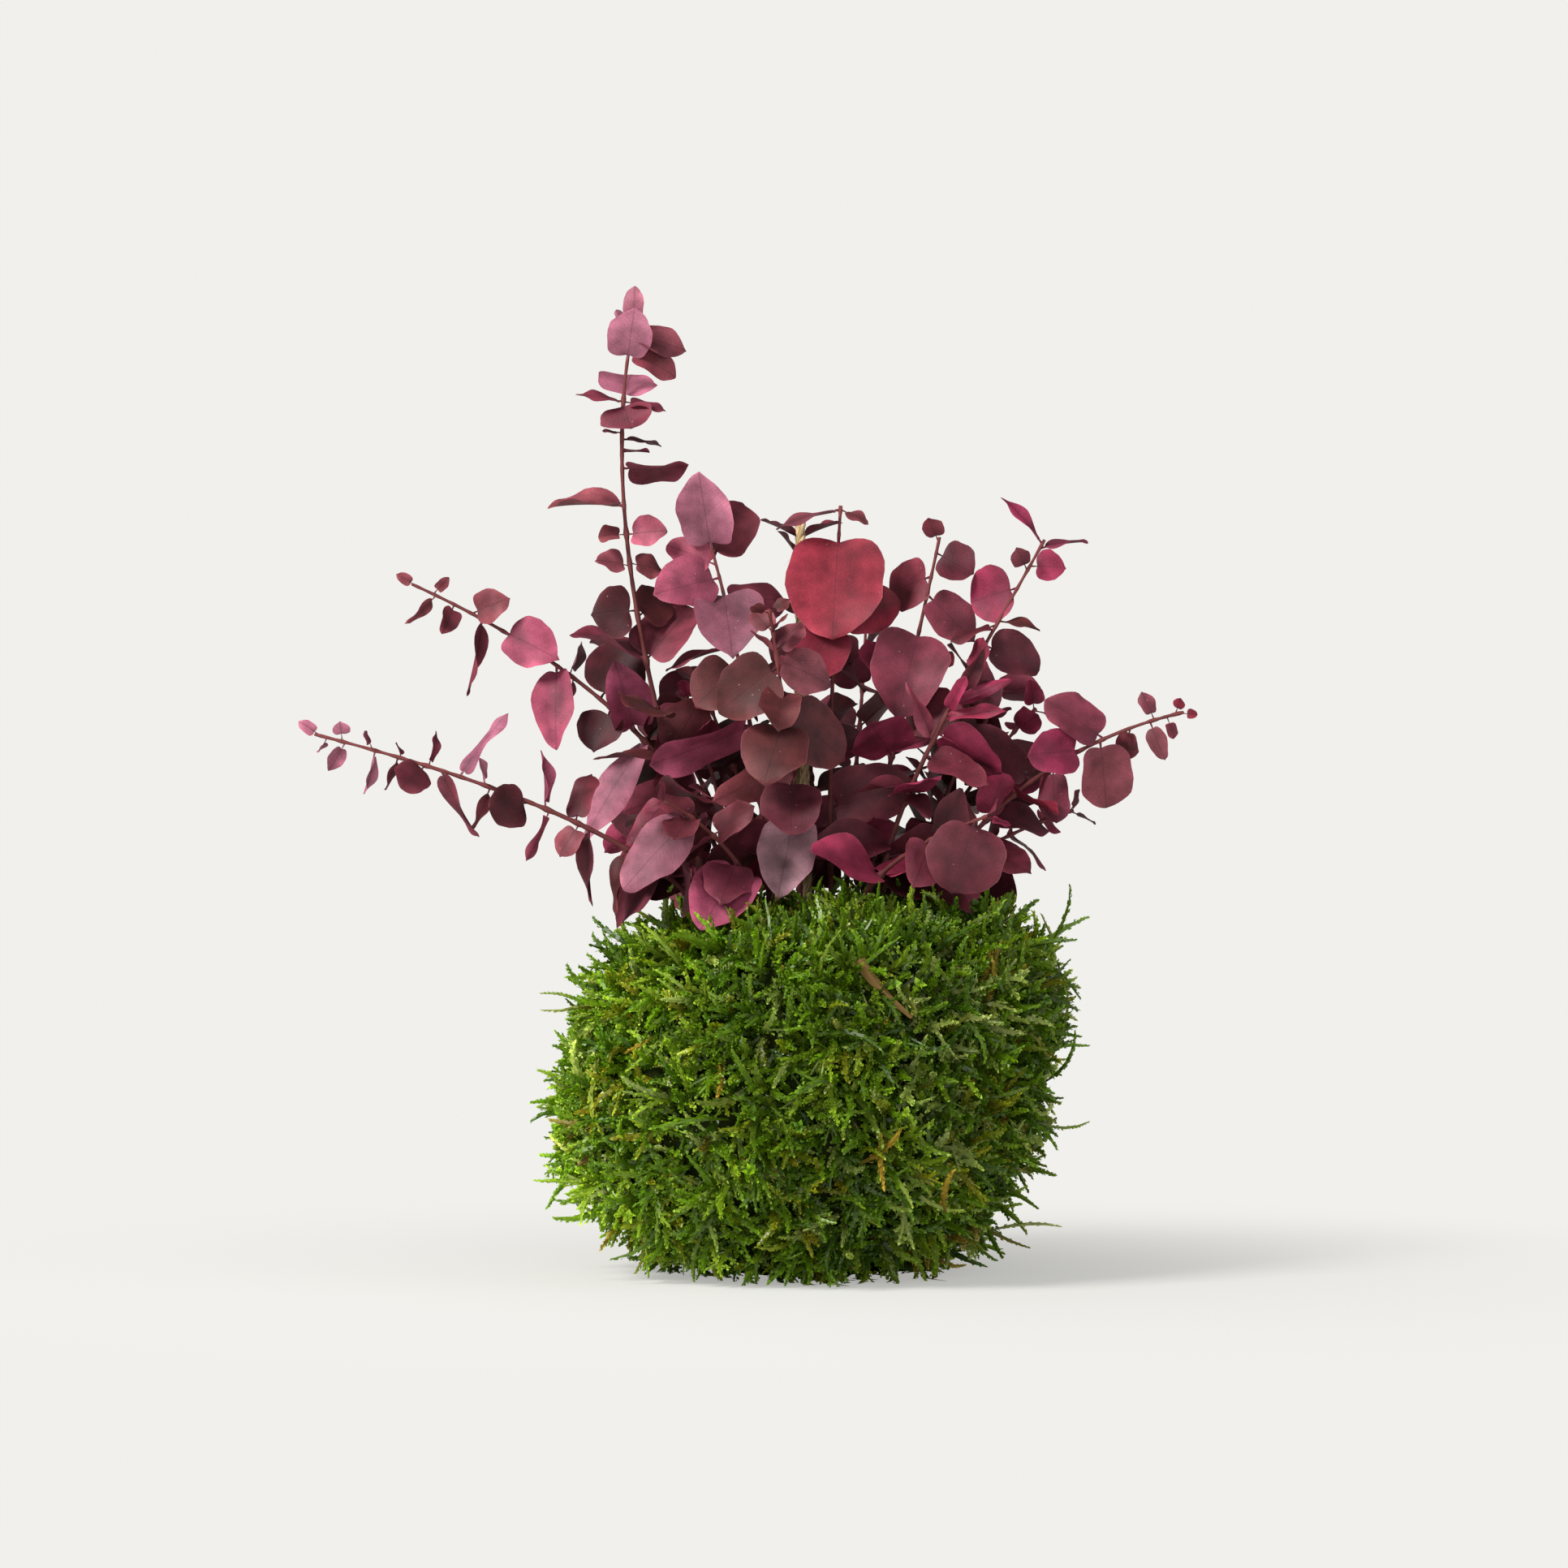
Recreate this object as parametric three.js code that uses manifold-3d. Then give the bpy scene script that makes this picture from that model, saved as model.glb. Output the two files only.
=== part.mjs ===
// Kokedama: a ball of soil wrapped in moss, with a bunch of dyed eucalyptus stems and a hanging twine.
// Millimetres, +Z up, +X to the right and +Y to the back. The origin is on the surface that the ball
// rests on, under the middle of the ball.
import * as THREE from 'three';
import { mergeVertices } from 'three/addons/utils/BufferGeometryUtils.js';
import Module from 'manifold-3d';

const wasm = await Module();
wasm.setup();

// Driving dimensions
const BALL_MIDDLE = 54; // height of the ball's widest level
const BALL_HALF = { x: 65, y: 65, up: 49, down: 58 }; // without the standing moss tips
const BALL_SQUARENESS = { up: 3.3, down: 2 }; // superellipse exponents above and below the middle
const BALL_SLOPE = 0.05; // the right shoulder stands higher than the left one
const BELLY = { shift: -6, top: 75 }; // below this height the ball bulges to the left
const MOSS_LAYER = 10; // thickness of the moss wrapped round the soil
const TUFTS_ROUND = 42; // points of the moss surface in one ring, a multiple of 3
const TUFT_RINGS = 14;
const TUFT_HEIGHT = [4, 12];
const CROWN = { from: 11, height: 0.45 }; // from this ring on the tufts are so much lower
const TUFT_LEAN = 5;
const BARE_STRIP = { from: 20, middle: -10, half: 7 }; // no tufts stand in it, under the twine
const RING_LEVELS = { lowest: -63, highest: 80 }; // degrees above the ball's widest level
const LUMPS = [ // size, waves round, waves up, start
  { size: 0.024, round: 3, up: 2, start: -1 },
  { size: 0.018, round: 5, up: 4, start: 2 },
  { size: 0.02, round: 2, up: 0, start: 0.6 },
];
const CORE_SIDES = 18;
const CORE_RINGS = 7;
const FIT_GAP = 0.5; // clearance round what stands or lies in another piece

const STEM_RADIUS = { foot: 1.4, tip: 0.65 };
const STEM_SIDES = 4;
const STEM_STEPS = 7;
const BURIED = 30; // how deep a cut stem is pushed in below the moss
const BLADE_THICKNESS = 0.7;
const PETIOLE = 2.2; // from the stem's middle to the blade
const LEAF_SEAT = 0.45; // how far out in the stem a leaf's foot is, as a share of its radius
const LEAF_GAP = 0.35; // leaves of two stems stay this far apart
const PLACED_CROSSING = 6; // mm3 that leaves placed on one stem may share
const RULED_CROSSING = 0.1; // the same for a leaf set out by rule

const TWINE_RADIUS = 1.5;
const TWINE_SIDES = 8;
const TWINE_STEPS = 56;
const TWINE_HOLE = 40; // from its buried end out of the moss
const COIL = { x: 5, y: 107, middle: 17, half: 3.2, height: 6, bevel: 1.5, sides: 24 };
const KNOT = { length: 8, radius: 3, around: 8, rings: 6 };
const LAID_GAP = 0.2; // between the surface and the coil and knot that lie on it

// The cut stems. foot, rise, reach and tip are the four points of a Bezier curve. Leaf pairs are set out
// by rule from the share `from` of the curve to the share `until`: pairs is their number, leaf the
// largest one's length, and turn the angle of the first pair round the stem. In placed, each leaf is
// given by the share of the curve that it grows from, the point that its tip reaches, its width and the
// direction that its face looks in.
const STEMS = [
  {
    name: 'stem_tall_left', foot: [-31, 0, 104], rise: [-45, -2, 150], reach: [-66, -6, 218],
    tip: [-53.5, -8, 275], pairs: 5, from: 0.1, until: 0.45, leaf: 23, turn: 15,
    placed: [
      [0.985, [-53.5, -10, 284], 6, [0, -1, 0.1]],
      [0.97, [-59, -6, 278], 3.5, [0.4, -1, 0]],
      [0.925, [-53.6, -13, 277], 13, [0, -1, 0.15]],
      [0.972, [-37.6, -4, 266.5], 9.5, [0.15, -1, 0.55]],
      [0.943, [-40.2, -6, 258.5], 9, [0.15, -1, 0.5]],
      [0.865, [-54.5, 3, 262], 17, [0, -1, 0.2]],
      [0.86, [-70, -12, 254], 7, [0, -0.5, 1]],
      [0.862, [-54.8, -13, 243.5], 15.5, [0, -1, -0.1]],
      [0.86, [-44.5, -8, 250], 7, [0.3, -0.5, 0.8]],
      [0.81, [-62.5, -10, 243], 6, [0, -0.15, 1]],
      [0.78, [-49.6, -13, 237.5], 6, [0, -0.1, 1]],
      [0.8, [-45.6, -1, 241], 7, [0, -0.15, 1]],
      [0.755, [-37.7, -10, 229], 13, [0.1, -0.4, -0.9]],
      [0.695, [-79, -8, 225], 13, [0, -0.2, 1]],
      [0.65, [-64.5, -6, 213], 9, [0, -0.5, 0.8]],
      [0.65, [-44.5, -11, 214], 9, [0.2, -0.9, 0.3]],
      [0.6, [-64, -9, 206.5], 9, [0, -0.7, 0.7]],
      [0.605, [-45, -2, 203], 9, [0.2, -0.8, 0.6]],
      [0.53, [-66.5, -6, 190], 15, [0.1, -1, 0.2]],
      [0.52, [-43.5, 4, 197], 13, [0.2, -1, 0.1]],
    ],
  },
  {
    name: 'stem_upper_left', foot: [-25, 10, 105], rise: [-33, 12, 143], reach: [-66, 14, 175],
    tip: [-119, 12, 199], pairs: 5, from: 0.1, until: 0.46, leaf: 21, turn: 55,
    placed: [
      [0.99, [-123, 10, 202], 3.5, [0, -1, 0.3]],
      [0.96, [-108, 8, 200.5], 3.5, [0.3, -1, 0]],
      [0.955, [-118.5, 6, 186.5], 3.5, [1, -0.4, 0]],
      [0.92, [-109, 4, 184.5], 6, [0.5, -1, 0]],
      [0.885, [-91, 6, 195], 10, [0.1, -1, 0.3]],
      [0.865, [-100, 8, 165], 6, [1, -0.3, 0]],
      [0.82, [-77, 4, 178], 14.5, [-0.1, -1, 0.2]],
      [0.7, [-78, 2, 151], 12, [-0.3, -1, 0]],
      [0.67, [-68, 15, 182], 5.5, [1, -0.4, 0]],
      [0.66, [-73, 17, 162], 5.5, [1, -0.5, 0]],
      [0.59, [-53, 12, 184], 19, [-0.3, -1, 0.25]],
      [0.49, [-58, -1, 175], 14, [0.25, -1, 0.1]],
      [0.56, [-66.5, 6, 151.5], 14, [-0.3, -1, 0.1]],
      [0.46, [-73, 4, 124], 10.5, [-0.7, -0.8, 0.1]],
    ],
  },
  {
    name: 'stem_lower_left', foot: [-33, -10, 103], rise: [-46, -14, 122], reach: [-85, -22, 140],
    tip: [-144, -24, 155], pairs: 3, from: 0.12, until: 0.3, leaf: 21, turn: 80,
    placed: [
      [0.99, [-148, -26, 159], 4, [0, -1, 0.4]],
      [0.98, [-142.5, -21, 149], 3.5, [1, -0.6, 0]],
      [0.955, [-136.5, -25, 158.5], 5, [0.2, -1, 0]],
      [0.95, [-139.5, -24, 144], 5, [0.6, -1, 0]],
      [0.905, [-128.5, -27, 156], 3.5, [1, -0.4, 0]],
      [0.9, [-128.5, -21, 137], 4, [1, -0.5, 0]],
      [0.855, [-120, -19, 153], 3.5, [1, -0.5, 0]],
      [0.86, [-123, -18, 138], 4, [1, -0.5, 0]],
      [0.81, [-118, -32, 141], 11, [0, -1, 0.1]],
      [0.805, [-108, -18, 156], 4, [1, -0.5, 0]],
      [0.78, [-100.5, -24, 124], 5.5, [-0.8, -0.5, 0.3]],
      [0.745, [-91.5, -22, 163.5], 5.5, [-0.8, -0.5, -0.3]],
      [0.695, [-96, -26, 148.5], 4, [1, -0.5, 0]],
      [0.685, [-98, -20, 126.5], 5, [1, -0.5, 0]],
      [0.6, [-94, -28, 134], 13, [0, -1, 0.1]],
      [0.565, [-77, -18, 151], 5, [1, -0.5, 0]],
      [0.555, [-82, -23, 118], 5, [1, -0.5, 0]],
      [0.49, [-68, -10, 146], 9, [-0.5, -1, 0]],
      [0.48, [-75, -22, 121], 8, [-0.3, -1, 0.4]],
      [0.455, [-69, -18, 106], 6, [-0.8, -0.5, 0.3]],
      [0.35, [-61.5, -22, 104], 7, [-0.8, -0.6, 0.2]],
      [0.34, [-45, -9, 138], 8, [-0.3, -1, 0.5]],
    ],
  },
  {
    name: 'stem_centre_left', foot: [-15, -3, 106], rise: [-17, -8, 140], reach: [-22, -10, 175],
    tip: [-32, -6, 210], pairs: 4, from: 0.14, until: 0.55, leaf: 23, turn: 30,
    placed: [
      [0.985, [-36, -20, 229], 17, [-0.3, -1, 0.5]],
      [0.965, [-21.5, 9, 225], 16, [0.4, -0.9, 0.6]],
      [0.94, [-45, -6, 211], 10, [0, -1, 0.4]],
      [0.905, [-48, -17, 196], 16, [0, -1, 0.4]],
      [0.87, [-25, -24, 180], 20.5, [0.1, -1, 0.4]],
      [0.845, [-8, 0, 196], 13, [0.1, -0.9, 0.5]],
      [0.72, [-47, -3, 177], 8, [0, -0.4, 1]],
      [0.66, [-36, -16, 164], 18, [-0.3, -1, 0]],
      [0.5, [-49, -17, 143.5], 14, [-0.1, -0.7, -0.7]],
    ],
  },
  {
    name: 'stem_centre', foot: [3, 3, 106], rise: [2, 2, 140], reach: [3, -2, 180],
    tip: [5.5, -3, 221], pairs: 5, from: 0.12, until: 0.62, leaf: 24, turn: 75,
    placed: [
      [0.99, [-14.5, -6, 217.5], 12, [0, -0.2, 1]],
      [0.99, [14, -5, 217], 10, [0.1, -0.2, 1]],
      [0.93, [3, -13, 182], 28, [0, -1, 0.25]],
      [0.72, [-6, -16, 170], 17, [0.1, -1, 0.3]],
      [0.745, [24, -1, 194], 15, [0.1, -1, 0.2]],
      [0.62, [15, 9, 170], 11, [0, -0.6, 0.8]],
    ],
  },
  {
    name: 'stem_centre_right', foot: [13, 2, 106], rise: [17, 2, 140], reach: [27, 0, 178],
    tip: [34, -2, 212], pairs: 5, from: 0.14, until: 0.64, leaf: 23, turn: 60,
    placed: [
      [0.985, [31, 0, 218.5], 6.5, [0.2, -1, 0]],
      [0.955, [43, -8, 202.5], 12.5, [0.1, -1, 0.2]],
      [0.89, [16, 9, 196], 15, [-0.3, -1, 0.2]],
      [0.84, [45, -4, 182.5], 13, [0.2, -1, 0.2]],
      [0.745, [22, -14, 161.5], 22, [0, -1, 0.2]],
    ],
  },
  {
    name: 'stem_high_right', foot: [16, -10, 105], rise: [18, -14, 135], reach: [40, -12, 168],
    tip: [64, -6, 211], pairs: 4, from: 0.16, until: 0.68, leaf: 22, turn: 20,
    placed: [
      [0.99, [54.5, -8, 225], 4, [0.8, -0.6, 0.3]],
      [0.98, [76.5, -5, 213.5], 5, [-0.2, -0.3, 1]],
      [0.94, [70, -9, 203.5], 9, [0.1, -1, 0.3]],
      [0.93, [56, -12, 208], 6, [0, -1, 0]],
      [0.89, [41.5, -4, 193], 16.5, [0, -1, 0.15]],
      [0.81, [63, -12, 187], 7, [0, -0.25, 1]],
      [0.8, [36, -14, 183.5], 7, [0, -0.35, 1]],
      [0.75, [64.5, -8, 175], 13, [0.2, -0.9, 0.4]],
      [0.5, [26, -18, 171], 7, [0.9, -0.5, 0]],
      [0.62, [47, -20, 178], 4.5, [0.4, -1, 0]],
      [0.6, [54, -19, 171], 4, [0.2, -1, 0.2]],
      [0.575, [40, -22, 171.5], 5, [-0.4, -1, 0.2]],
      [0.56, [51, -21, 163.5], 4.5, [0.2, -1, 0.5]],
      [0.46, [48, -19, 144], 13, [0, -0.6, 0.8]],
      [0.38, [8, -20, 141.5], 7, [0, -0.25, 1]],
      [0.36, [31, -24, 133], 7, [0, -0.25, 1]],
      [0.21, [-4, -25, 124], 13, [0, -0.8, 0.6]],
      [0.11, [42, -27, 110], 16, [0, -0.6, 0.8]],
    ],
  },
  {
    name: 'stem_far_right', foot: [28, -3, 104], rise: [38, -4, 124], reach: [62, -8, 152],
    tip: [104, -6, 161.5], pairs: 4, from: 0.16, until: 0.52, leaf: 21, turn: 50,
    placed: [
      [0.99, [108, -7, 161], 3, [0, -1, 0.2]],
      [0.98, [103.5, -4, 166], 3.5, [0.2, -1, 0.3]],
      [0.96, [101.5, -9, 154.5], 4, [0.5, -1, 0]],
      [0.93, [92.5, -6, 168], 5, [0.4, -1, 0]],
      [0.92, [98, -9, 147.5], 5.5, [-0.4, -1, 0]],
      [0.87, [87, 3, 146.5], 7, [-0.3, -1, 0]],
      [0.8, [65, -11, 167], 14, [-0.1, -0.8, 0.6]],
      [0.735, [60, -17, 150], 14, [-0.2, -1, 0.2]],
      [0.79, [83, -4, 132.5], 16, [0.3, -1, 0]],
      [0.65, [66.5, -8, 129], 10, [-0.5, -1, 0]],
      [0.58, [43, -3, 160], 12, [0, -0.8, 0.6]],
    ],
  },
  {
    name: 'stem_front', foot: [-6, -15, 105], rise: [-7, -19, 130], reach: [-10, -34, 160],
    tip: [-15, -40, 190], pairs: 3, from: 0.86, until: 0.985, leaf: 19, turn: 25,
    placed: [
      [0.82, [-31, -35, 160.5], 18, [-0.2, -1, 0.1]],
      [0.75, [-12, -49, 158], 12, [0.1, -1, 0.5]],
      [0.84, [4, -36, 170], 13, [0.3, -0.9, 0.4]],
      [0.68, [9, -27, 148], 19, [0.4, -1, 0.2]],
      [0.645, [-16.5, -46, 143.5], 19, [-0.1, -1, 0.35]],
      [0.52, [-31, -30, 134], 12, [-0.2, -0.8, -0.5]],
      [0.46, [-8.5, -41, 128.5], 17.5, [0, -1, 0.6]],
      [0.34, [-12.5, -39, 111.5], 16.5, [-0.05, -1, 0.2]],
    ],
  },
  {
    name: 'stem_low_left', foot: [-17, -19, 104], rise: [-22, -26, 120], reach: [-33, -36, 130],
    tip: [-44, -44, 136], pairs: 4, from: 0.35, until: 0.985, leaf: 20, turn: 70,
    placed: [
      [0.78, [-58, -45, 112.5], 15, [-0.3, -1, 0.4]],
      [0.3, [-33.5, -45, 103.5], 18.5, [0.05, -1, 0.6]],
    ],
  },
  {
    name: 'stem_low_right', foot: [10, -22, 104], rise: [14, -28, 118], reach: [30, -42, 126],
    tip: [46, -50, 132], pairs: 3, from: 0.3, until: 0.985, leaf: 22, turn: 45,
    placed: [[0.93, [36, -53, 110.5], 22, [0.1, -1, 0.2]]],
  },
  {
    name: 'stem_inner_left', foot: [-23, 3, 105], rise: [-27, 4, 128], reach: [-32, 5, 148],
    tip: [-39, 5, 166], pairs: 6, from: 0.14, until: 0.985, leaf: 23, turn: 5, placed: [],
  },
  {
    name: 'stem_inner_right', foot: [23, 3, 105], rise: [29, 4, 126], reach: [39, 5, 144],
    tip: [48, 6, 160], pairs: 6, from: 0.14, until: 0.985, leaf: 24, turn: 40, placed: [],
  },
  {
    name: 'stem_mid_right', foot: [25, 9, 104], rise: [33, 12, 128], reach: [48, 18, 148],
    tip: [63, 24, 163], pairs: 7, from: 0.16, until: 0.985, leaf: 23, turn: 10, placed: [],
  },
  {
    name: 'stem_mid_left', foot: [-13, 9, 106], rise: [-18, 10, 130], reach: [-28, 16, 152],
    tip: [-35, 24, 170], pairs: 7, from: 0.14, until: 0.985, leaf: 24, turn: 40, placed: [],
  },
  {
    name: 'stem_cradle', foot: [-3, 17, 105], rise: [-1, 22, 140], reach: [-6, 18, 180],
    tip: [-6, 17, 216.3], pairs: 6, from: 0.14, until: 0.9, leaf: 22, turn: 40,
    placed: [
      [0.965, [-17, 17, 220], 9, [0.4, 0, 1]],
      [0.965, [5, 17, 220], 9, [-0.4, 0, 1]],
    ],
  },
  {
    name: 'stem_back_left', foot: [-20, 22, 103], rise: [-26, 30, 130], reach: [-44, 48, 158],
    tip: [-62, 62, 184], pairs: 7, from: 0.14, until: 0.985, leaf: 24, turn: 0, placed: [],
  },
  {
    name: 'stem_back', foot: [7, 20, 105], rise: [9, 30, 135], reach: [13, 52, 165],
    tip: [14, 72, 192], pairs: 7, from: 0.14, until: 0.985, leaf: 24, turn: 35,
    placed: [
      [0.13, [-10, 27, 117], 14, [0, -1, 0.3]],
      [0.11, [25, 30, 116], 14, [0.1, -1, 0.3]],
    ],
  },
  {
    name: 'stem_back_right', foot: [18, 22, 103], rise: [26, 32, 130], reach: [42, 50, 156],
    tip: [60, 66, 178], pairs: 7, from: 0.14, until: 0.985, leaf: 23, turn: 65, placed: [],
  },
  {
    name: 'stem_low_back', foot: [-26, 31, 101], rise: [-32, 40, 116], reach: [-48, 64, 126],
    tip: [-62, 88, 132], pairs: 6, from: 0.2, until: 0.985, leaf: 22, turn: 25,
    placed: [[0.26, [-12, 44, 117], 15, [0, -1, 0.3]], [0.22, [-46, 40, 111], 16, [0, -1, 0.3]]],
  },
  {
    name: 'stem_low_back_right', foot: [27, 29, 101], rise: [34, 36, 116], reach: [54, 52, 126],
    tip: [76, 62, 133], pairs: 6, from: 0.2, until: 0.985, leaf: 21, turn: 80,
    placed: [[0.22, [10, 42, 117], 15, [0, -1, 0.3]], [0.2, [48, 34, 111], 16, [0, -1, 0.3]]],
  },
];

// A leaf that would touch another stem's leaf is turned to the first of these that is clear:
// roll and lift in degrees, turn round the stem in degrees, and share of its size.
const BENDS = [
  [0, 0, 0, 1],
  [35, 0, 0, 1],
  [-35, 0, 0, 1],
  [0, 25, 0, 1],
  [0, -25, 0, 1],
  [0, 0, 30, 0.9],
  [0, 0, -30, 0.9],
  [60, 15, 0, 0.75],
  [-60, 15, 0, 0.75],
  [0, 40, 0, 0.65],
];
const SMALLEST_LEAF = 0.26; // a tip leaf's share of the largest one
const LEAF_WIDTH = [0.7, 0.92]; // share of the length

// The twine's route: out of the crown, up through the bunch, over the cradle stem, down behind it,
// over the moss shoulder and down to the surface.
const TWINE_ROUTE = [
  [-4, 7, 90], [-4, 7, 106], [-4.6, 7.4, 135], [-5.3, 8, 170], [-6, 8.8, 204], [-6, 9.4, 211],
  [-6, 12, 216.6], [-6, 17, 218.8], [-6, 22, 216.6], [-6, 24.6, 211], [-6, 25.4, 203],
  [-6.2, 26.5, 180], [-6.8, 29, 150], [-7.4, 32, 124], [-8, 36, 115], [-9, 46, 112], [-10, 57, 106.5],
  [-11, 66, 98], [-12, 72.5, 86], [-12, 76, 70], [-12, 77.5, 50], [-12, 78, 30],
  [-12, 78.8, 14], [-12.2, 80.6, 6], [-12.8, 84.5, 2.3], [-13.6, 90, 1.7], [-14, 96.3, 1.7],
];

const WORLD_BACK = new THREE.Vector3(0, 1, 0);

// A repeatable draw between 0 and 1 for three whole numbers.
function draw(a, b, c) {
  const value = Math.sin(a * 12.9898 + b * 78.233 + c * 37.719) * 43758.5453;
  return value - Math.floor(value);
}

function vector(values) {
  return new THREE.Vector3(...values);
}

// Solids and meshes

function toSolid(geometry) {
  const bare = geometry.index ? geometry.clone() : geometry;
  bare.deleteAttribute('normal');
  bare.deleteAttribute('uv');
  const merged = mergeVertices(bare, 1e-4);
  return new wasm.Manifold(
    new wasm.Mesh({
      numProp: 3,
      vertProperties: merged.attributes.position.array,
      triVerts: new Uint32Array(merged.index.array),
    }),
  );
}

function toMesh(name, solid, material) {
  const { vertProperties, triVerts } = solid.getMesh();
  const geometry = new THREE.BufferGeometry();
  geometry.setAttribute('position', new THREE.BufferAttribute(new Float32Array(vertProperties), 3));
  geometry.setIndex(new THREE.BufferAttribute(new Uint32Array(triVerts), 1));
  const mesh = new THREE.Mesh(geometry, material);
  mesh.name = name;
  return mesh;
}

// The biggest of the pieces that a join leaves, without loose scraps.
function mainBody(solid) {
  const bodies = solid.decompose();
  return bodies.reduce((best, body) => (body.volume() > best.volume() ? body : best));
}

// The moss ball and its soil

// A point of the ball, `inset` below the moss surface: `round` is the angle about +Z, and `level` the
// angle above the widest level.
function ballPoint(round, level, inset) {
  const upper = level > 0;
  const power = 2 / (upper ? BALL_SQUARENESS.up : BALL_SQUARENESS.down);
  let lumps = 1;
  for (const wave of LUMPS) {
    lumps += wave.size * Math.sin(wave.round * round + wave.up * level + wave.start);
  }
  const out = Math.abs(Math.cos(level)) ** power * lumps;
  const up = Math.abs(Math.sin(level)) ** power;
  const x = (BALL_HALF.x - inset) * out * Math.cos(round);
  const y = (BALL_HALF.y - inset) * out * Math.sin(round);
  const height = upper ? BALL_HALF.up - inset : -(BALL_HALF.down - inset);
  const z = BALL_MIDDLE + height * up + BALL_SLOPE * x;
  const belly = BELLY.shift * Math.sin(Math.PI * THREE.MathUtils.clamp(z / BELLY.top, 0, 1));
  return new THREE.Vector3(x + belly, y, z);
}

// Rings of points from the lowest to the highest, every second ring half a step round, closed at both
// ends. place(ring, step) gives each point.
function ringedSolid(rings, around, place, bottom, top) {
  const points = [];
  const faces = [];
  for (let ring = 0; ring < rings; ring += 1) {
    for (let step = 0; step < around; step += 1) points.push(place(ring, step));
  }
  const bottomAt = points.push(bottom) - 1;
  const topAt = points.push(top) - 1;
  const index = (ring, step) => ring * around + ((step + around) % around);
  for (let step = 0; step < around; step += 1) {
    faces.push(bottomAt, index(0, step + 1), index(0, step));
    faces.push(topAt, index(rings - 1, step), index(rings - 1, step + 1));
    for (let ring = 0; ring + 1 < rings; ring += 1) {
      const shift = ring % 2;
      faces.push(index(ring, step), index(ring, step + 1), index(ring + 1, step + shift));
      faces.push(index(ring, step + 1), index(ring + 1, step + 1 + shift), index(ring + 1, step + shift));
    }
  }
  const geometry = new THREE.BufferGeometry().setFromPoints(points);
  geometry.setIndex(faces);
  return toSolid(geometry);
}

// The angle above the widest level for a ring, from just above the flat foot to the crown.
function ringLevel(ring, rings) {
  const { lowest, highest } = RING_LEVELS;
  return THREE.MathUtils.degToRad(THREE.MathUtils.lerp(lowest, highest, ring / (rings - 1)));
}

// The moss surface: one point in three stands up as a leaning tuft, and the foot is cut flat.
function mossSurface() {
  const place = (ring, step) => {
    const level = ringLevel(ring, TUFT_RINGS);
    const half = (ring % 2) / 2;
    const round = ((step + half) / TUFTS_ROUND) * 2 * Math.PI;
    const point = ballPoint(round, level, 0);
    if (ring === 0) return point.setZ(0);
    const across = step - (ring - (ring % 2)) / 2 - ring;
    const stands = ((across % 3) + 3) % 3 === 0;
    const aside = Math.abs(point.x - BARE_STRIP.middle);
    const underTwine = point.y > BARE_STRIP.from && aside < BARE_STRIP.half;
    if (!stands || ring < 2 || underTwine) return point;
    const outward = point.clone().sub(new THREE.Vector3(0, 0, BALL_MIDDLE)).normalize();
    const sideways = new THREE.Vector3(-Math.sin(round), Math.cos(round), 0);
    const upward = outward.clone().cross(sideways).negate();
    const [low, high] = TUFT_HEIGHT;
    const height = THREE.MathUtils.lerp(low, high, draw(ring, step, 1));
    point.addScaledVector(outward, height * (ring < CROWN.from ? 1 : CROWN.height));
    point.addScaledVector(sideways, TUFT_LEAN * (draw(ring, step, 2) - 0.5) * 2);
    point.addScaledVector(upward, TUFT_LEAN * (draw(ring, step, 3) - 0.5) * 2);
    return point.setZ(Math.max(point.z, 1));
  };
  const crown = ballPoint(0, Math.PI / 2, 0);
  return ringedSolid(TUFT_RINGS, TUFTS_ROUND, place, new THREE.Vector3(), crown);
}

// The soil ball, or with a smaller inset the space that it fills in the moss.
function soilBall(inset) {
  const rings = CORE_RINGS;
  const place = (ring, step) => {
    const half = (ring % 2) / 2;
    const round = ((step + half) / CORE_SIDES) * 2 * Math.PI;
    const point = ballPoint(round, ringLevel(ring, rings), inset);
    return point.setZ(Math.max(point.z, inset));
  };
  const floor = new THREE.Vector3(0, 0, inset);
  return ringedSolid(rings, CORE_SIDES, place, floor, ballPoint(0, Math.PI / 2, inset));
}

// Stems and leaves

// Where the stem runs, the direction it runs in there, and two directions across it.
function alongStem(stem, share) {
  const curve = new THREE.CubicBezierCurve3(
    vector(stem.foot), vector(stem.rise), vector(stem.reach), vector(stem.tip));
  const place = curve.getPoint(share);
  const ahead = curve.getTangent(share);
  const side = ahead.clone().cross(WORLD_BACK).normalize();
  const radius = THREE.MathUtils.lerp(STEM_RADIUS.foot, STEM_RADIUS.tip, share);
  return { place, ahead, side, front: ahead.clone().cross(side), radius };
}

// A tapered rod along the stem from its buried end, `grow` thicker all round, over its first `steps`
// steps out of STEM_STEPS.
function stemRod(stem, grow, steps) {
  const rod = new THREE.CylinderGeometry(1, 1, 1, STEM_SIDES, steps);
  const position = rod.attributes.position;
  for (let i = 0; i < position.count; i += 1) {
    const step = Math.round((position.getY(i) + 0.5) * steps);
    const share = Math.max(step - 1, 0) / (STEM_STEPS - 1);
    const { place, ahead, side, front, radius } = alongStem(stem, share);
    if (step === 0) place.addScaledVector(ahead, -BURIED - 2 * grow);
    place.addScaledVector(side, (radius + grow) * position.getX(i));
    place.addScaledVector(front, -(radius + grow) * position.getZ(i));
    position.setXYZ(i, place.x, place.y, place.z);
  }
  return toSolid(rod);
}

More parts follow.
